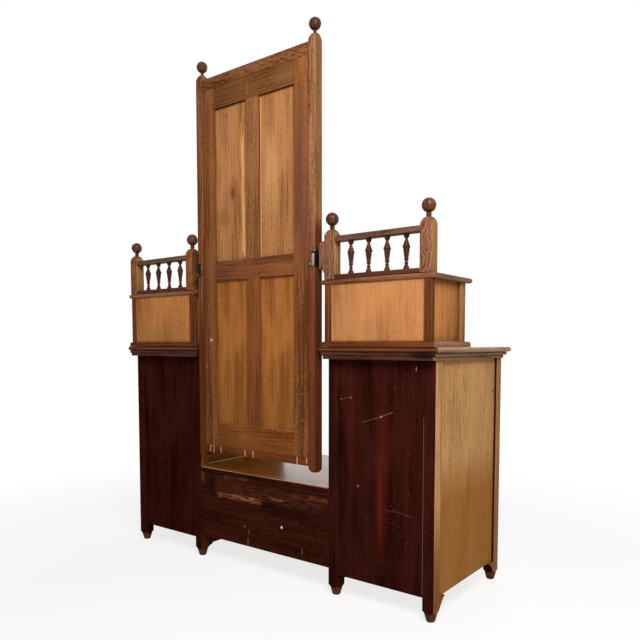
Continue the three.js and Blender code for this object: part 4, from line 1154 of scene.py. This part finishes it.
def gallery_post(side, row, toward, stock):
    """A domed post with its ball. toward is the direction of the mirror for the inner post, or 0."""
    node = f"{side}_gallery_post_{row}"
    low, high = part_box(node)
    spindles_low, spindles_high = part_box(f"{side}_gallery_spindles")
    half = GALLERY_POST / 2
    x = spindles_low.x - GLUE - half if low.x < spindles_low.x else spindles_high.x + GLUE + half
    y = (low.y + high.y) / 2
    post = copied(gallery_blank, f"{node}_domed", (x, y, 0))
    # The right gallery's inner post and its ear take post_shade, post_side darkened with painted shade.
    shaded = side == "right" and toward
    side_wood = finish("post_shade" if shaded else "post_side", stock=stock)
    back = own_wood(node, "post_gold" if side == "right" else "post", low, high, heart=POST_HEART)
    dress(post, side_wood, side_wood, back, finish("post_rim"))
    stain(post, 2, lambda centre, normal: normal.y > 0.7)
    stain(post, 3, lambda centre, normal: (
        centre.z > gallery_shoulder and normal.y < 0.7 and normal.z > 0.1))
    made = [post, copied(gallery_ball, f"{node}_ball", (x, y, gallery_top - GLUE))]
    if toward:
        ear_wood = side_wood if shaded else back
        made.append(section(f"{node}_ear", ear_outline(x + toward * half, toward), "Y", y - half,
                            y + half, (ear_wood, ear_wood), arris=0.0009))
    return [seat(piece, "carcass", "brown_pine", node) for piece in made]


def make_balustrade(side, spindle):
    """Four copies of the spindle between their rails."""
    node = f"{side}_gallery_spindles"
    low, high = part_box(node)
    x, y = (low.x + high.x) / 2, (low.y + high.y) / 2
    first = (high.x - low.x) / 2 + GLUE - SPINDLE_END_ROOM
    made = []
    for i in range(SPINDLE_COUNT):
        place = (x + first * (2 * i / (SPINDLE_COUNT - 1) - 1), y, low.z + GALLERY_BOTTOM_RAIL)
        made.append(copied(spindle, f"{side}_spindle_{i + 1}", place))
    stock = 1 if side == "right" else 2
    made.append(board(f"{side}_gallery_bottom_rail", low, (high.x, high.y, low.z + GALLERY_BOTTOM_RAIL),
                      planed("low_rail", "X", stock)))
    made.append(board(f"{side}_gallery_top_rail", (low.x, low.y, high.z - GALLERY_TOP_RAIL), high,
                      planed("rail", "X", stock), arris=0.0014))
    return [seat(piece, "carcass", "turned_wood", node) for piece in made]


spindles_low, spindles_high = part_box("right_gallery_spindles")
spindle_length = spindles_high.z - spindles_low.z - GALLERY_BOTTOM_RAIL - GALLERY_TOP_RAIL
spindle = turned_piece("spindle", scaled(SPINDLE_SHARES, SPINDLE_RADIUS, spindle_length),
                       (finish("turned"),), steps=32)
for stock, (side, sign) in enumerate(SIDES, 1):
    show(f"{side} gallery", [*gallery_post(side, "outer", 0, stock),
                             *gallery_post(side, "inner", -sign, stock + 2),
                             *make_balustrade(side, spindle)])
for blank in (spindle, gallery_ball, gallery_blank):
    bpy.data.objects.remove(blank)

# %% [markdown]
# ## The mirror
# Two posts with turned ends hold a top and a bottom rail. Between them sits the back: a frame of
# stiles, rails and muntins with four panels in its grooves. The frame's members are separate
# boards here, each with its own grain, because the rails' grain runs across and the stiles' up.

# %% Mirror pieces
MIRROR_POST_WIDTH = 0.028
MIRROR_DOME = 0.024
MIRROR_END = 0.016
MIRROR_BALL = 0.0202
MIRROR_NECK = 0.006
MIRROR_NECK_HEIGHT = 0.0096
FRAME_STILE = 0.062
FRAME_MUNTIN = 0.060
PANEL_TONGUE = 0.005
MEMBER_ARRIS = 0.0006
POST_PROUD = 0.002
POST_BEFORE = 0.006
MIRROR_END_SHARES = [(0.3, 0), (0.42, 0.02), (0.6, 0.1), (0.72, 0.22), (0.82, 0.4), (0.9, 0.6),
                     (0.96, 0.8), (1, 1)]
GAP = Vector((GLUE, GLUE, GLUE))
glass_low, glass_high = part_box("mirror_glass")
glass_groove = (glass_low - GAP, glass_high + GAP)
mirror_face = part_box("mirror_back_frame")[1].x + GLUE + MIRROR_POST_WIDTH
mirror_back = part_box("mirror_top_rail")[1].y + POST_PROUD


def make_mirror_posts():
    """The posts with their turned ends and balls."""
    neck = (MIRROR_BALL, MIRROR_NECK, MIRROR_NECK_HEIGHT)
    ball = turned_piece("mirror_ball", ball_outline(*neck), (finish("ball"),))
    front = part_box("mirror_top_rail")[0].y - POST_BEFORE
    depth = mirror_back - front
    y = (mirror_back + front) / 2
    low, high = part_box("mirror_right_post")
    top = high.z - ball_height(*neck) + GLUE
    corner = math.hypot(MIRROR_POST_WIDTH, depth) / 2
    outline = [*scaled(MIRROR_END_SHARES, corner, MIRROR_END, low.z),
               *domed_outline(corner, low.z + MIRROR_END + 0.002, top - MIRROR_DOME, MIRROR_DOME)]
    blank = turned_post("mirror_post_blank", MIRROR_POST_WIDTH, depth, outline, planed("mirror_side"))
    made = []
    for stock, (side, sign) in enumerate(SIDES, 1):
        node = f"mirror_{side}_post"
        x = sign * (mirror_face - MIRROR_POST_WIDTH / 2)
        post = copied(blank, f"{node}_turned", (x, y, 0))
        cut_away(post, *glass_groove)
        dress(post, *planed("mirror_side", stock=stock),
              finish("mirror_post" if side == "left" else "mirror_post_gold", stock=stock))
        stain(post, 2, lambda centre, normal: normal.y > 0.7)
        made += [seat(post, "mirror", "brown_pine", node),
                 seat(copied(ball, f"{node}_ball", (x, y, top - GLUE)), "mirror", "brown_pine", node)]
    for used in (ball, blank):
        bpy.data.objects.remove(used)
    return made


STAIN_DEPTH = 0.05
MEMBER_MARKS = {
    "left_stile": [
        ("spot", -0.22, 1.33, 0.06, 0.42, 0.6, "#6c4034"),
        ("spot", -0.208, 1.4, 0.022, 0.3, 0.4, "#5e3428"),
        ("spot", -0.225, 1.16, 0.02, 0.12, 0.3, "#54261a"),
        ("spot", -0.216, 0.86, 0.04, 0.16, 0.6, "#562a17"),
        ("line", -0.1728, 0.7051, -0.2251, 0.7271, 0.0016, 0.45, "#b0743c"),
        ("line", -0.2034, 0.6677, -0.225, 0.6721, 0.0016, 0.4, "#b0743c"),
        ("line", -0.2118, 0.5773, -0.2334, 0.5823, 0.0016, 0.4, "#b0743c"),
    ],
    "right_stile": [
        ("spot", 0.25, 1.1, 0.03, 0.9, 0.5, "#6a3422"),
        ("spot", 0.205, 1.2, 0.02, 0.9, 0.4, "#945c34"),
        ("spot", 0.205, 0.8, 0.018, 0.5, 0.5, "#8a5630"),
        ("line", 0.226, 0.9742, 0.2038, 1.0102, 0.0018, 0.35, "#b8845a"),
        ("spot", 0.2145, 0.852, 0.009, 0.008, 0.8, "#d8a878"),
        ("line", 0.2225, 0.8477, 0.2062, 0.8551, 0.0022, 0.8, "#e8c08c"),
        ("spot", 0.2404, 0.7539, 0.004, 0.006, 0.7, "#c89a6c"),
    ],
    "top": [
        ("line", 0.0226, 1.7335, 0.0229, 1.6999, 0.0014, 0.6, "#c09064"),
        ("spot", -0.15, 1.73, 0.10, 0.05, 0.35, "#8a5c3a"),
    ],
    "lock": [("spot", -0.12, 1.09, 0.10, 0.05, 0.35, "#925a34")],
    "bottom": [("spot", 0.05, 0.5, 0.05, 0.03, 0.3, "#8a5a2e")],
}
FRAME_WOODS = {"bottom": "frame_low", "lock": "lock", "top": "frame_high",
               "lower": "muntin_low", "upper": "muntin_high"}


def frame_member(name, base, low, high, grain, grooves, rows=()):
    """One member of the mirror's back: stained face, darker side edges, undersides dark with painted
    shade and upper edges pale with wear and painted light.
    """
    own = own_wood(name, base, low, high, grain, marks=face_marks("Y", high[1], rows, STAIN_DEPTH))
    edges = [finish(edge, grain) for edge in ("edge_dark", "edge_deep", "edge_light")]
    member = board(name, low, high, (own, finish("frame_worn", grain), *edges), MEMBER_ARRIS, grooves)
    stain(member, 2, lambda centre, normal: abs(normal.x) > 0.7)
    # Undersides take painted shade, upper faces wear and painted light from above.
    stain(member, 3, lambda centre, normal: normal.z < -0.7)
    stain(member, 4, lambda centre, normal: normal.z > 0.7)
    return member


def make_back_frame():
    """Stiles, rails and muntins of the mirror's back, each a board of its own."""
    low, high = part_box("mirror_back_frame")
    panels = [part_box(f"mirror_{row}_{hand}_panel") for row in ("lower", "upper")
              for hand in ("right", "left")]
    grooves = [(box[0] - GAP, box[1] + GAP) for box in panels]
    levels = [low.z, panels[0][0].z + PANEL_TONGUE, panels[0][1].z - PANEL_TONGUE,
              panels[2][0].z + PANEL_TONGUE, panels[2][1].z - PANEL_TONGUE, high.z]
    inner = high.x - FRAME_STILE
    half = FRAME_MUNTIN / 2
    plan = [(f"mirror_{hand}_stile", "stile", x0, x1, low.z, high.z, "Z", f"{hand}_stile")
            for hand, x0, x1 in (("right", inner, high.x), ("left", low.x, -inner))]
    plan += [(f"mirror_frame_{row}_rail", FRAME_WOODS[row], -inner, inner, levels[2 * i],
              levels[2 * i + 1], "X", row) for i, row in enumerate(("bottom", "lock", "top"))]
    plan += [(f"mirror_{row}_muntin", FRAME_WOODS[row], -half, half, levels[2 * i + 1],
              levels[2 * i + 2], "Z", None) for i, row in enumerate(("lower", "upper"))]
    made = [frame_member(name, base, (x0, low.y, z0), (x1, high.y, z1), grain, grooves,
                         MEMBER_MARKS.get(row, ()))
            for name, base, x0, x1, z0, z1, grain, row in plan]
    return [seat(piece, "mirror", "brown_pine", "mirror_back_frame") for piece in made]


SCARS = [("line", *ends, 0.003, 0.85, "#c8a084") for ends in (
    (0.216, 0.4575, 0.222, 0.4552), (0.221, 0.4563, 0.227, 0.4252), (0.227, 0.4252, 0.2382, 0.4125),
    (0.2046, 0.4579, 0.205, 0.4313), (0.167, 0.4578, 0.1673, 0.4314),
    (0.0431, 0.4553, 0.0433, 0.4335), (0.0034, 0.463, 0.0037, 0.4342),
    (-0.2002, 0.4597, -0.2001, 0.4324), (-0.2412, 0.4608, -0.2412, 0.4406))]


def make_mirror_rails():
    """The rails above and below the framed back, grooved for the glass. The lower one is scarred
    where it has knocked against things on the low centre."""
    scars = face_marks("Y", mirror_back - POST_PROUD, SCARS)
    made = []
    for name, base, heart, marks in (("top", "mirror_top", (0.02, -0.05, 0.28, 0.06), ()),
                                     ("bottom", "mirror_low", None, scars)):
        node = f"mirror_{name}_rail"
        low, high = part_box(node)
        own = own_wood(f"{node}_board", base, low, high, "X", heart, marks)
        rail = board(f"{node}_board", low, high, (own, finish("frame_worn", "X")), cuts=[glass_groove])
        made.append(seat(rail, "mirror", "brown_pine", node))
    return made


show("mirror", [*make_mirror_posts(), *make_back_frame(), *make_mirror_rails()])

# %% [markdown]
# ## The mirror's movement
# An iron plate wraps the edge of each mirror post and carries a pin. The pin turns in a socket
# that is let into the gallery post's ear. The plate's back leg has a long rounded casting on it,
# rubbed bright on the picture's right, with a small knob at one end and a screw beside it.

# %% Metals and glass
def plain_surface(name, colour, metallic, roughness, shine=0.5):
    """A plain metal or glass with one colour, one roughness and one shine."""
    material, tree, output = clear_material(name)
    surface = add_node(tree, "BsdfPrincipled", {
        "Base Color": linear(colour), "Metallic": metallic, "Roughness": roughness,
        "Specular IOR Level": shine,
    })
    tree.links.new(surface.outputs[0], output.inputs["Surface"])
    return material


silver = plain_surface("silvered_glass", "#e6eaea", 1.0, 0.03)
iron = plain_surface("dark_iron", "#120b07", 0.2, 0.6, 0.12)
rubbed_iron = plain_surface("rubbed_iron", "#8c8876", 0.7, 0.4)

# %% Movement pieces
PLATE_LEG = 0.0152
PLATE_THICKNESS = 0.003
PIN_RADIUS = 0.0045
SOCKET_RADIUS = 0.009
SOCKET_PLATE = 0.003
LEG_THICKNESS = 0.0012
LEG_SHORTER = 0.006
KNOB_PROUD = 0.0004
CASTING_RADIUS = 0.0062
CASTING_SHARE = 0.78
CASTING_SHARES = [(0.3, 0), (0.7, 0.02), (0.92, 0.06), (1, 0.13), (1, 0.5), (0.97, 0.85), (0.85, 0.94),
                  (0.6, 0.98), (0.2, 1)]
PIN_DEPTH = 0.019
IRON_ARRIS = 0.0005


def make_plate(side, sign, head):
    """A mirror post's plate: two legs, the casting over the pin, the pin, a knob and a screw."""
    node = f"mirror_{side}_pivot_plate"
    low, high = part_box(node)
    middle = (low.z + high.z) / 2
    outer = sign * (mirror_face + GLUE + PLATE_THICKNESS)
    inner = sign * (mirror_face - PLATE_LEG)
    back = mirror_back + GLUE
    across = sorted((inner, outer))
    leg = board(f"{node}_back_leg", (across[0], back, low.z),
                (across[1], back + LEG_THICKNESS, high.z - LEG_SHORTER), (iron, iron), IRON_ARRIS)
    across = sorted((outer, outer - sign * PLATE_THICKNESS))
    flank = board(f"{node}_side_leg", (across[0], low.y, low.z), (across[1], back, high.z),
                  (iron, iron), IRON_ARRIS)
    length = (high.z - low.z) * CASTING_SHARE
    casting = turned_piece(f"{node}_casting", scaled(CASTING_SHARES, CASTING_RADIUS, length),
                           (rubbed_iron if side == "left" else iron,), steps=24)
    casting.scale.y = (high.y - back - GLUE) / CASTING_RADIUS
    moved(casting, f"{node}_casting", (inner + sign * (CASTING_RADIUS + 0.001), back, low.z + 0.001))
    reach = max(abs(low.x), abs(high.x)) - abs(outer)
    rings = [(PIN_RADIUS, -0.001), (PIN_RADIUS, reach - 0.001), (PIN_RADIUS * 0.8, reach)]
    pin = turned_piece(f"{node}_pin", rings, (iron,), steps=24)
    moved(pin, f"{node}_pin", (outer, mirror_back - PIN_DEPTH, middle), (0, sign * math.pi / 2, 0))
    # The picture shows the knob at the upper end on one side and at the lower end on the other
    knob_level = high.z - 0.003 if side == "left" else low.z + 0.006
    knob = copied(head, f"{node}_knob", (outer - sign * 0.004, mirror_back + KNOB_PROUD, knob_level))
    screw = copied(head, f"{node}_screw", (inner - sign * 0.006, mirror_back, low.z + 0.008))
    if side == "right":
        dress(screw, iron)
    return [seat(piece, "mirror", "dark_iron", node)
            for piece in (leg, flank, casting, pin, knob, screw)]


def make_socket(side, sign):
    """A round-ended plate on the ear with a bored boss for the pin."""
    node = f"{side}_mirror_socket"
    low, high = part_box(node)
    y, half = (low.y + high.y) / 2, (high.y - low.y) / 2
    ends = [(high.z - half, 0), (low.z + half, 180)]
    outline = [(y + half * math.cos(math.radians(turn + 18 * i)),
                level + half * math.sin(math.radians(turn + 18 * i)))
               for level, turn in ends for i in range(11)]
    near, far = (low.x, high.x) if sign > 0 else (high.x, low.x)
    inside = far - sign * SOCKET_PLATE
    plate = section(f"{node}_plate", outline, "X", inside, far, (iron, iron), arris=IRON_ARRIS)
    reach = abs(far - near) - SOCKET_PLATE
    bore = PIN_RADIUS + GLUE
    rings = [(SOCKET_RADIUS, -0.001), (SOCKET_RADIUS, reach - 0.0008), (SOCKET_RADIUS - 0.0008, reach),
             (bore + 0.0005, reach), (bore, reach - 0.0005), (bore, 0.0005)]
    boss = turned_piece(f"{node}_boss", rings, (iron,), steps=28)
    moved(boss, f"{node}_boss", (inside, y, (low.z + high.z) / 2), (0, -sign * math.pi / 2, 0))
    return [seat(piece, "carcass", "dark_iron", node) for piece in (plate, boss)]


HEAD_OUTLINE = [(0.0006, -0.0026), (0.0018, -0.0022), (0.0026, -0.001), (0.0026, 0.001),
                (0.0018, 0.0022), (0.0006, 0.0026)]
head = turned_piece("screw_head", HEAD_OUTLINE, (rubbed_iron,), steps=16)
for side, sign in SIDES:
    show(f"{side} movement", [*make_plate(side, sign, head), *make_socket(side, sign)])
bpy.data.objects.remove(head)
dress(nodes["mirror_glass"], silver)

# %% [markdown]
# ## The low centre
# A polished board lies between the pedestals over one long drawer. It closes the gap at the back
# with a rough board that nobody was meant to see.

# %% Centre pieces
CENTRE_NOSE = 0.003
CENTRE_HEART = (0.06, -0.05, 0.02, 0.05)
top_low, top_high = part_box("centre_top")
centre_top = nosed_board("centre_top_board", top_low, top_high, CENTRE_NOSE, (
    own_wood("centre_top", "polished", top_low, top_high, "X", CENTRE_HEART),
    finish("edge_light", "X", 7), finish("dark_centre", "X", 7)))
stain(centre_top, 2, lambda centre, normal: (
    abs(normal.y) > 0.9 or (normal.z < 0.3 and normal.y > 0.3)))
seat(centre_top, "carcass", "polished_top", "centre_top")
show("centre", [centre_top])

# %% [markdown]
# ## Drawers
# Each drawer is a front with turned knobs and a box of thin bare boards behind it.

# %% Drawer pieces
KNOB_SHARES = [(0.62, -0.1), (0.62, 0.02), (0.66, 0.06), (0.6, 0.1), (0.46, 0.2), (0.42, 0.3),
               (0.44, 0.4), (0.56, 0.5), (0.8, 0.58), (0.94, 0.66), (1.0, 0.76), (0.99, 0.83),
               (0.9, 0.9), (0.68, 0.955), (0.36, 0.99), (0.02, 1.0)]
DRAWER_BOTTOM = 0.007
HEAD_ROOM = 0.008
SMALL_FRONT_RISE = 0.0009


def make_knob(name, radius, length):
    """A turned knob that points to the front."""
    knob = turned_piece(name, scaled(KNOB_SHARES, radius, length), (finish("turned"),), steps=32)
    return moved(knob, name, (0, 0, 0), (math.pi / 2, 0, 0))


def make_front(name, node, knob, knob_length, places, thickness, stock):
    """A drawer's front with its knobs. A small drawer's front stands a little above its box."""
    low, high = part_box(node)
    face = low.y + knob_length
    middle = Vector(((low.x + high.x) / 2, face, (low.z + high.z) / 2))
    bottom = low.z + (SMALL_FRONT_RISE if node == name else 0)
    made = [board(f"{name}_front_board", (low.x, face, bottom), (high.x, face + thickness, high.z),
                  planed("front", "X", stock), arris=0.0015)]
    for i, offset in enumerate(places):
        made.append(copied(knob, f"{name}_knob_{i + 1}", middle + Vector((offset, 0, 0))))
    return made


def make_tray(name, low, high, wall):
    """A drawer's box: two sides, a back between them and a bottom, open at the top."""
    left, right = low.x + wall, high.x - wall
    spans = {
        "side_west": (low, (left, high.y, high.z), "Y"),
        "side_east": ((right, low.y, low.z), high, "Y"),
        "back": ((left, high.y - wall, low.z), (right, high.y, high.z), "X"),
        "bottom": ((left, low.y, low.z), (right, high.y - wall, low.z + DRAWER_BOTTOM), "X"),
    }
    return [board(f"{name}_{part}", start, end, planed("lining", grain, i), arris=0.0006)
            for i, (part, (start, end, grain)) in enumerate(spans.items())]


def seat_all(pieces, body, slot, node):
    for piece in pieces:
        seat(piece, body, slot, node)
    return pieces


KNOB_RADIUS, KNOB_LENGTH = 0.015, 0.027
SMALL_KNOB_RADIUS, SMALL_KNOB_LENGTH = 0.010, 0.019
KNOB_PLACES, LONG_KNOB_PLACES = (-0.085, 0.085), (-0.19, 0.19)
FRONT_THICKNESS, JEWEL_FRONT = 0.020, 0.018
WALL, SMALL_WALL = 0.010, 0.008
large_knob = make_knob("large_knob", KNOB_RADIUS, KNOB_LENGTH)
small_knob = make_knob("small_knob", SMALL_KNOB_RADIUS, SMALL_KNOB_LENGTH)
drawers = [(f"{side}_{row}_drawer", KNOB_PLACES) for side, sign in SIDES
           for row in ("low", "middle", "top")]
for stock, (name, places) in enumerate([*drawers, ("long_drawer", LONG_KNOB_PLACES)]):
    front = make_front(name, f"{name}_front", large_knob, KNOB_LENGTH, places, FRONT_THICKNESS, stock)
    seat_all(front, name, "brown_pine", f"{name}_front")
    tray = make_tray(f"{name}_box", *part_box(f"{name}_box"), WALL)
    seat_all(tray, name, "drawer_lining", f"{name}_box")
    show(name, [*front, *tray])
for side, sign in SIDES:
    name = f"{side}_jewel_drawer"
    low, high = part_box(name)
    front = make_front(name, name, small_knob, SMALL_KNOB_LENGTH, (0,), JEWEL_FRONT, 8)
    tray_low = Vector((low.x, low.y + SMALL_KNOB_LENGTH + JEWEL_FRONT, low.z))
    tray = make_tray(f"{name}_box", tray_low, Vector((high.x, high.y, high.z - HEAD_ROOM)), SMALL_WALL)
    show(name, seat_all([*front, *tray], name, "brown_pine", name))
for blank in (large_knob, small_knob):
    bpy.data.objects.remove(blank)

# %% [markdown]
# ## Panels
# The flat panels are the CAD's own solids, which have the right shape already. Each gets a wood
# of its own, with the flames, knots and scratches that the picture shows on it, and a few marks of
# painted light and shade: a highlight along one panel's edge and a dark rim beside the box panels'
# frames. A mark's row gives its place on the face, in metres across and up.

# %% Panel woods
PANEL_MARKS = {
    "mirror_upper_right_panel": [
        ("streak", 0.058, 1.6, 0.052, 1.17, 0.017, 0.75, "#ce9458"),
        ("line", 0.057, 1.56, 0.049, 1.15, 0.008, 0.6, "#d8a062"),
        ("line", 0.06, 1.68, 0.074, 1.58, 0.0035, 0.6, "#744018"),
        ("line", 0.05, 1.67, 0.066, 1.57, 0.003, 0.5, "#744018"),
        ("line", 0.042, 1.64, 0.06, 1.55, 0.003, 0.5, "#744018"),
        ("line", 0.04, 1.58, 0.049, 1.5, 0.003, 0.4, "#744018"),
        ("line", 0.076, 1.58, 0.073, 1.2, 0.0035, 0.5, "#7c4820"),
        ("line", 0.066, 1.52, 0.064, 1.24, 0.0025, 0.4, "#8a5428"),
        ("spot", 0.1047, 1.38, 0.03, 0.08, 0.6, "#8e5034"),
        ("spot", 0.1047, 1.3742, 0.014, 0.03, 0.9, "#6e3422"),
        ("spot", 0.15, 1.295, 0.06, 0.05, 0.5, "#7e5032"),
    ],
    "mirror_upper_left_panel": [
        ("spot", -0.19, 1.42, 0.035, 0.5, 0.5, "#8c5236"),
        # The pale line along this panel's edge beside the muntin is a painted highlight.
        ("line", -0.032, 1.7, -0.032, 1.14, 0.004, 0.6, "#e0aa70"),
        ("spot", -0.08, 1.42, 0.05, 0.2, 0.35, "#d09a68"),
        ("spot", -0.12, 1.2, 0.05, 0.08, 0.3, "#a86a40"),
    ],
    "mirror_lower_right_panel": [
        ("line", 0.0353, 0.9322, 0.0358, 0.8826, 0.005, 0.7, "#d09858"),
        ("upward", 0.5, 0.9, 0.35, "#7c501e"),
    ],
    "mirror_lower_left_panel": [
        ("upward", 0.5, 0.9, 0.3, "#7c4e1e"),
    ],
    "left_box_back_panel": [
        ("spot", -0.51, 0.895, 0.004, 0.006, 0.7, "#8a5230"),
        ("line", -0.62, 0.985, -0.6, 0.955, 0.001, 0.22, "#e4b88c"),
        ("line", -0.47, 0.93, -0.45, 0.915, 0.001, 0.22, "#e4b88c"),
        ("chips", 0.016, 0.0018, 0.45, "#8a5630"),
        ("spot", -0.6, 1.0, 0.05, 0.03, 0.3, "#b0703e"),
    ],
    "right_box_back_panel": [
        ("upward", 0.86, 0.95, 0.3, "#8e6a40"),
    ],
    "left_back_panel": [
        ("spot", -0.516, 0.42, 0.03, 0.36, 0.5, "#541b0e"),
        ("spot", -0.508, 0.33, 0.014, 0.2, 0.4, "#622210"),
        ("spot", -0.4, 0.55, 0.02, 0.3, 0.4, "#4c1a10"),
        ("spot", -0.6, 0.4, 0.02, 0.25, 0.35, "#481810"),
        ("line", -0.4388, 0.5879, -0.5132, 0.6116, 0.0012, 0.28, "#a88878"),
        ("line", -0.5132, 0.6116, -0.5519, 0.6272, 0.0012, 0.45, "#a88878"),
        ("spot", -0.511, 0.611, 0.004, 0.004, 0.8, "#c8a898"),
        ("spot", -0.6328, 0.7624, 0.003, 0.01, 0.7, "#b89888"),
        ("line", -0.3577, 0.6585, -0.3971, 0.667, 0.001, 0.35, "#a08070"),
        ("spot", -0.3577, 0.6585, 0.004, 0.003, 0.5, "#a88878"),
        ("spot", -0.3977, 0.665, 0.003, 0.004, 0.6, "#b89888"),
        ("spot", -0.3256, 0.5745, 0.004, 0.007, 0.7, "#a88878"),
        ("spot", -0.4257, 0.3821, 0.005, 0.005, 0.7, "#8c7c74"),
        ("line", -0.5275, 0.3204, -0.5813, 0.3197, 0.001, 0.35, "#8c6a5a"),
        ("line", -0.5813, 0.3197, -0.6232, 0.3112, 0.001, 0.3, "#8c6a5a"),
        ("line", -0.6605, 0.618, -0.6605, 0.083, 0.0022, 0.7, "#9a7a6c"),
    ],
    "right_side_panel_inner": [
        ("line", 0.215, 0.3645, 0.0, 0.3645, 0.0058, 1.0, "#e0b87c"),
    ],
    "left_side_panel_outer": [
        ("line", 0.2096, 0.65, 0.19, 0.652, 0.004, 0.6, "#5e3818"),
        ("line", -0.1825, 0.675, -0.2, 0.674, 0.004, 0.7, "#4e2c12"),
    ],
    "centre_back_panel": [
        ("streak", 0.215, 0.262, 0.0, 0.265, 0.015, 0.85, "#8a5030"),
        ("streak", 0.14, 0.268, 0.04, 0.269, 0.009, 0.8, "#ac7048"),
        ("streak", -0.048, 0.2874, -0.105, 0.285, 0.008, 0.8, "#8a5436"),
        ("spot", -0.05, 0.266, 0.07, 0.014, 0.7, "#140604"),
        ("streak", -0.13, 0.305, -0.18, 0.306, 0.008, 0.6, "#74402a"),
        ("streak", -0.23, 0.313, -0.3, 0.314, 0.011, 0.6, "#7a4a30"),
        ("streak", 0.18, 0.335, 0.06, 0.343, 0.012, 0.5, "#6e4a34"),
        ("streak", 0.21, 0.3, -0.26, 0.295, 0.04, 0.35, "#643824"),
        ("spot", 0.305, 0.32, 0.016, 0.035, 0.5, "#5c4a3c"),
        ("spot", 0.255, 0.3, 0.03, 0.055, 0.6, "#160805"),
        ("spot", -0.1019, 0.1898, 0.0068, 0.0068, 1.0, "#e8e0d8"),
        ("spot", 0.0787, 0.1607, 0.005, 0.007, 0.5, "#8c8a90"),
        ("line", 0.055, 0.155, 0.06, 0.135, 0.002, 0.4, "#8c7c78"),
        ("line", 0.0623, 0.1174, 0.0626, 0.094, 0.0022, 0.5, "#a08070"),
        ("line", -0.1952, 0.131, -0.1951, 0.1134, 0.0022, 0.5, "#a08070"),
    ],
}
# The rim mark darkens the box panels beside their frames: dirt, and painted shade of the frame's recess.
RIM_COLOUR = "#6e3e1c"
RIM_DEPTH = 0.008
BACK_HEART = (0.0, -0.10, 0.02, 0.14)
FLAMED_HEART = (-0.045, -0.03, 0.01, 0.03)
BOX_HEART = (0.03, -0.06, 0.35, 0.9)


def panel_wood(node, base, grain="Z", heart=None, rim_depth=0):
    """Gives a CAD panel a wood of its own. Its marks lie on its back, or a side panel's on the
    face towards -X."""
    low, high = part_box(node)
    face = ("X", low.x) if "side_panel" in node else ("Y", high.y)
    marks = face_marks(*face, PANEL_MARKS.get(node, ()))
    if rim_depth:
        marks.append(("rim", (tuple(low), tuple(high), rim_depth), 0.4, RIM_COLOUR))
    dress(nodes[node], own_wood(node, base, low, high, grain, heart, marks))


for side, sign in SIDES:
    panel_wood(f"{side}_back_panel", "dark", heart=BACK_HEART)
    panel_wood(f"{side}_side_panel_outer", "honey", heart=(-sign * 0.09, 0.02, 0.1, 0.02))
    panel_wood(f"{side}_side_panel_inner", "inner")
    panel_wood(f"mirror_lower_{side}_panel", "golden_low")
panel_wood("mirror_upper_right_panel", "golden_high", heart=FLAMED_HEART)
panel_wood("mirror_upper_left_panel", "golden_high")
panel_wood("left_box_back_panel", "tan", rim_depth=RIM_DEPTH)
panel_wood("right_box_back_panel", "tan_deep", heart=BOX_HEART, rim_depth=RIM_DEPTH)
panel_wood("centre_back_panel", "dark_centre", "X")
panel_wood("centre_base_board", "lining", "X")
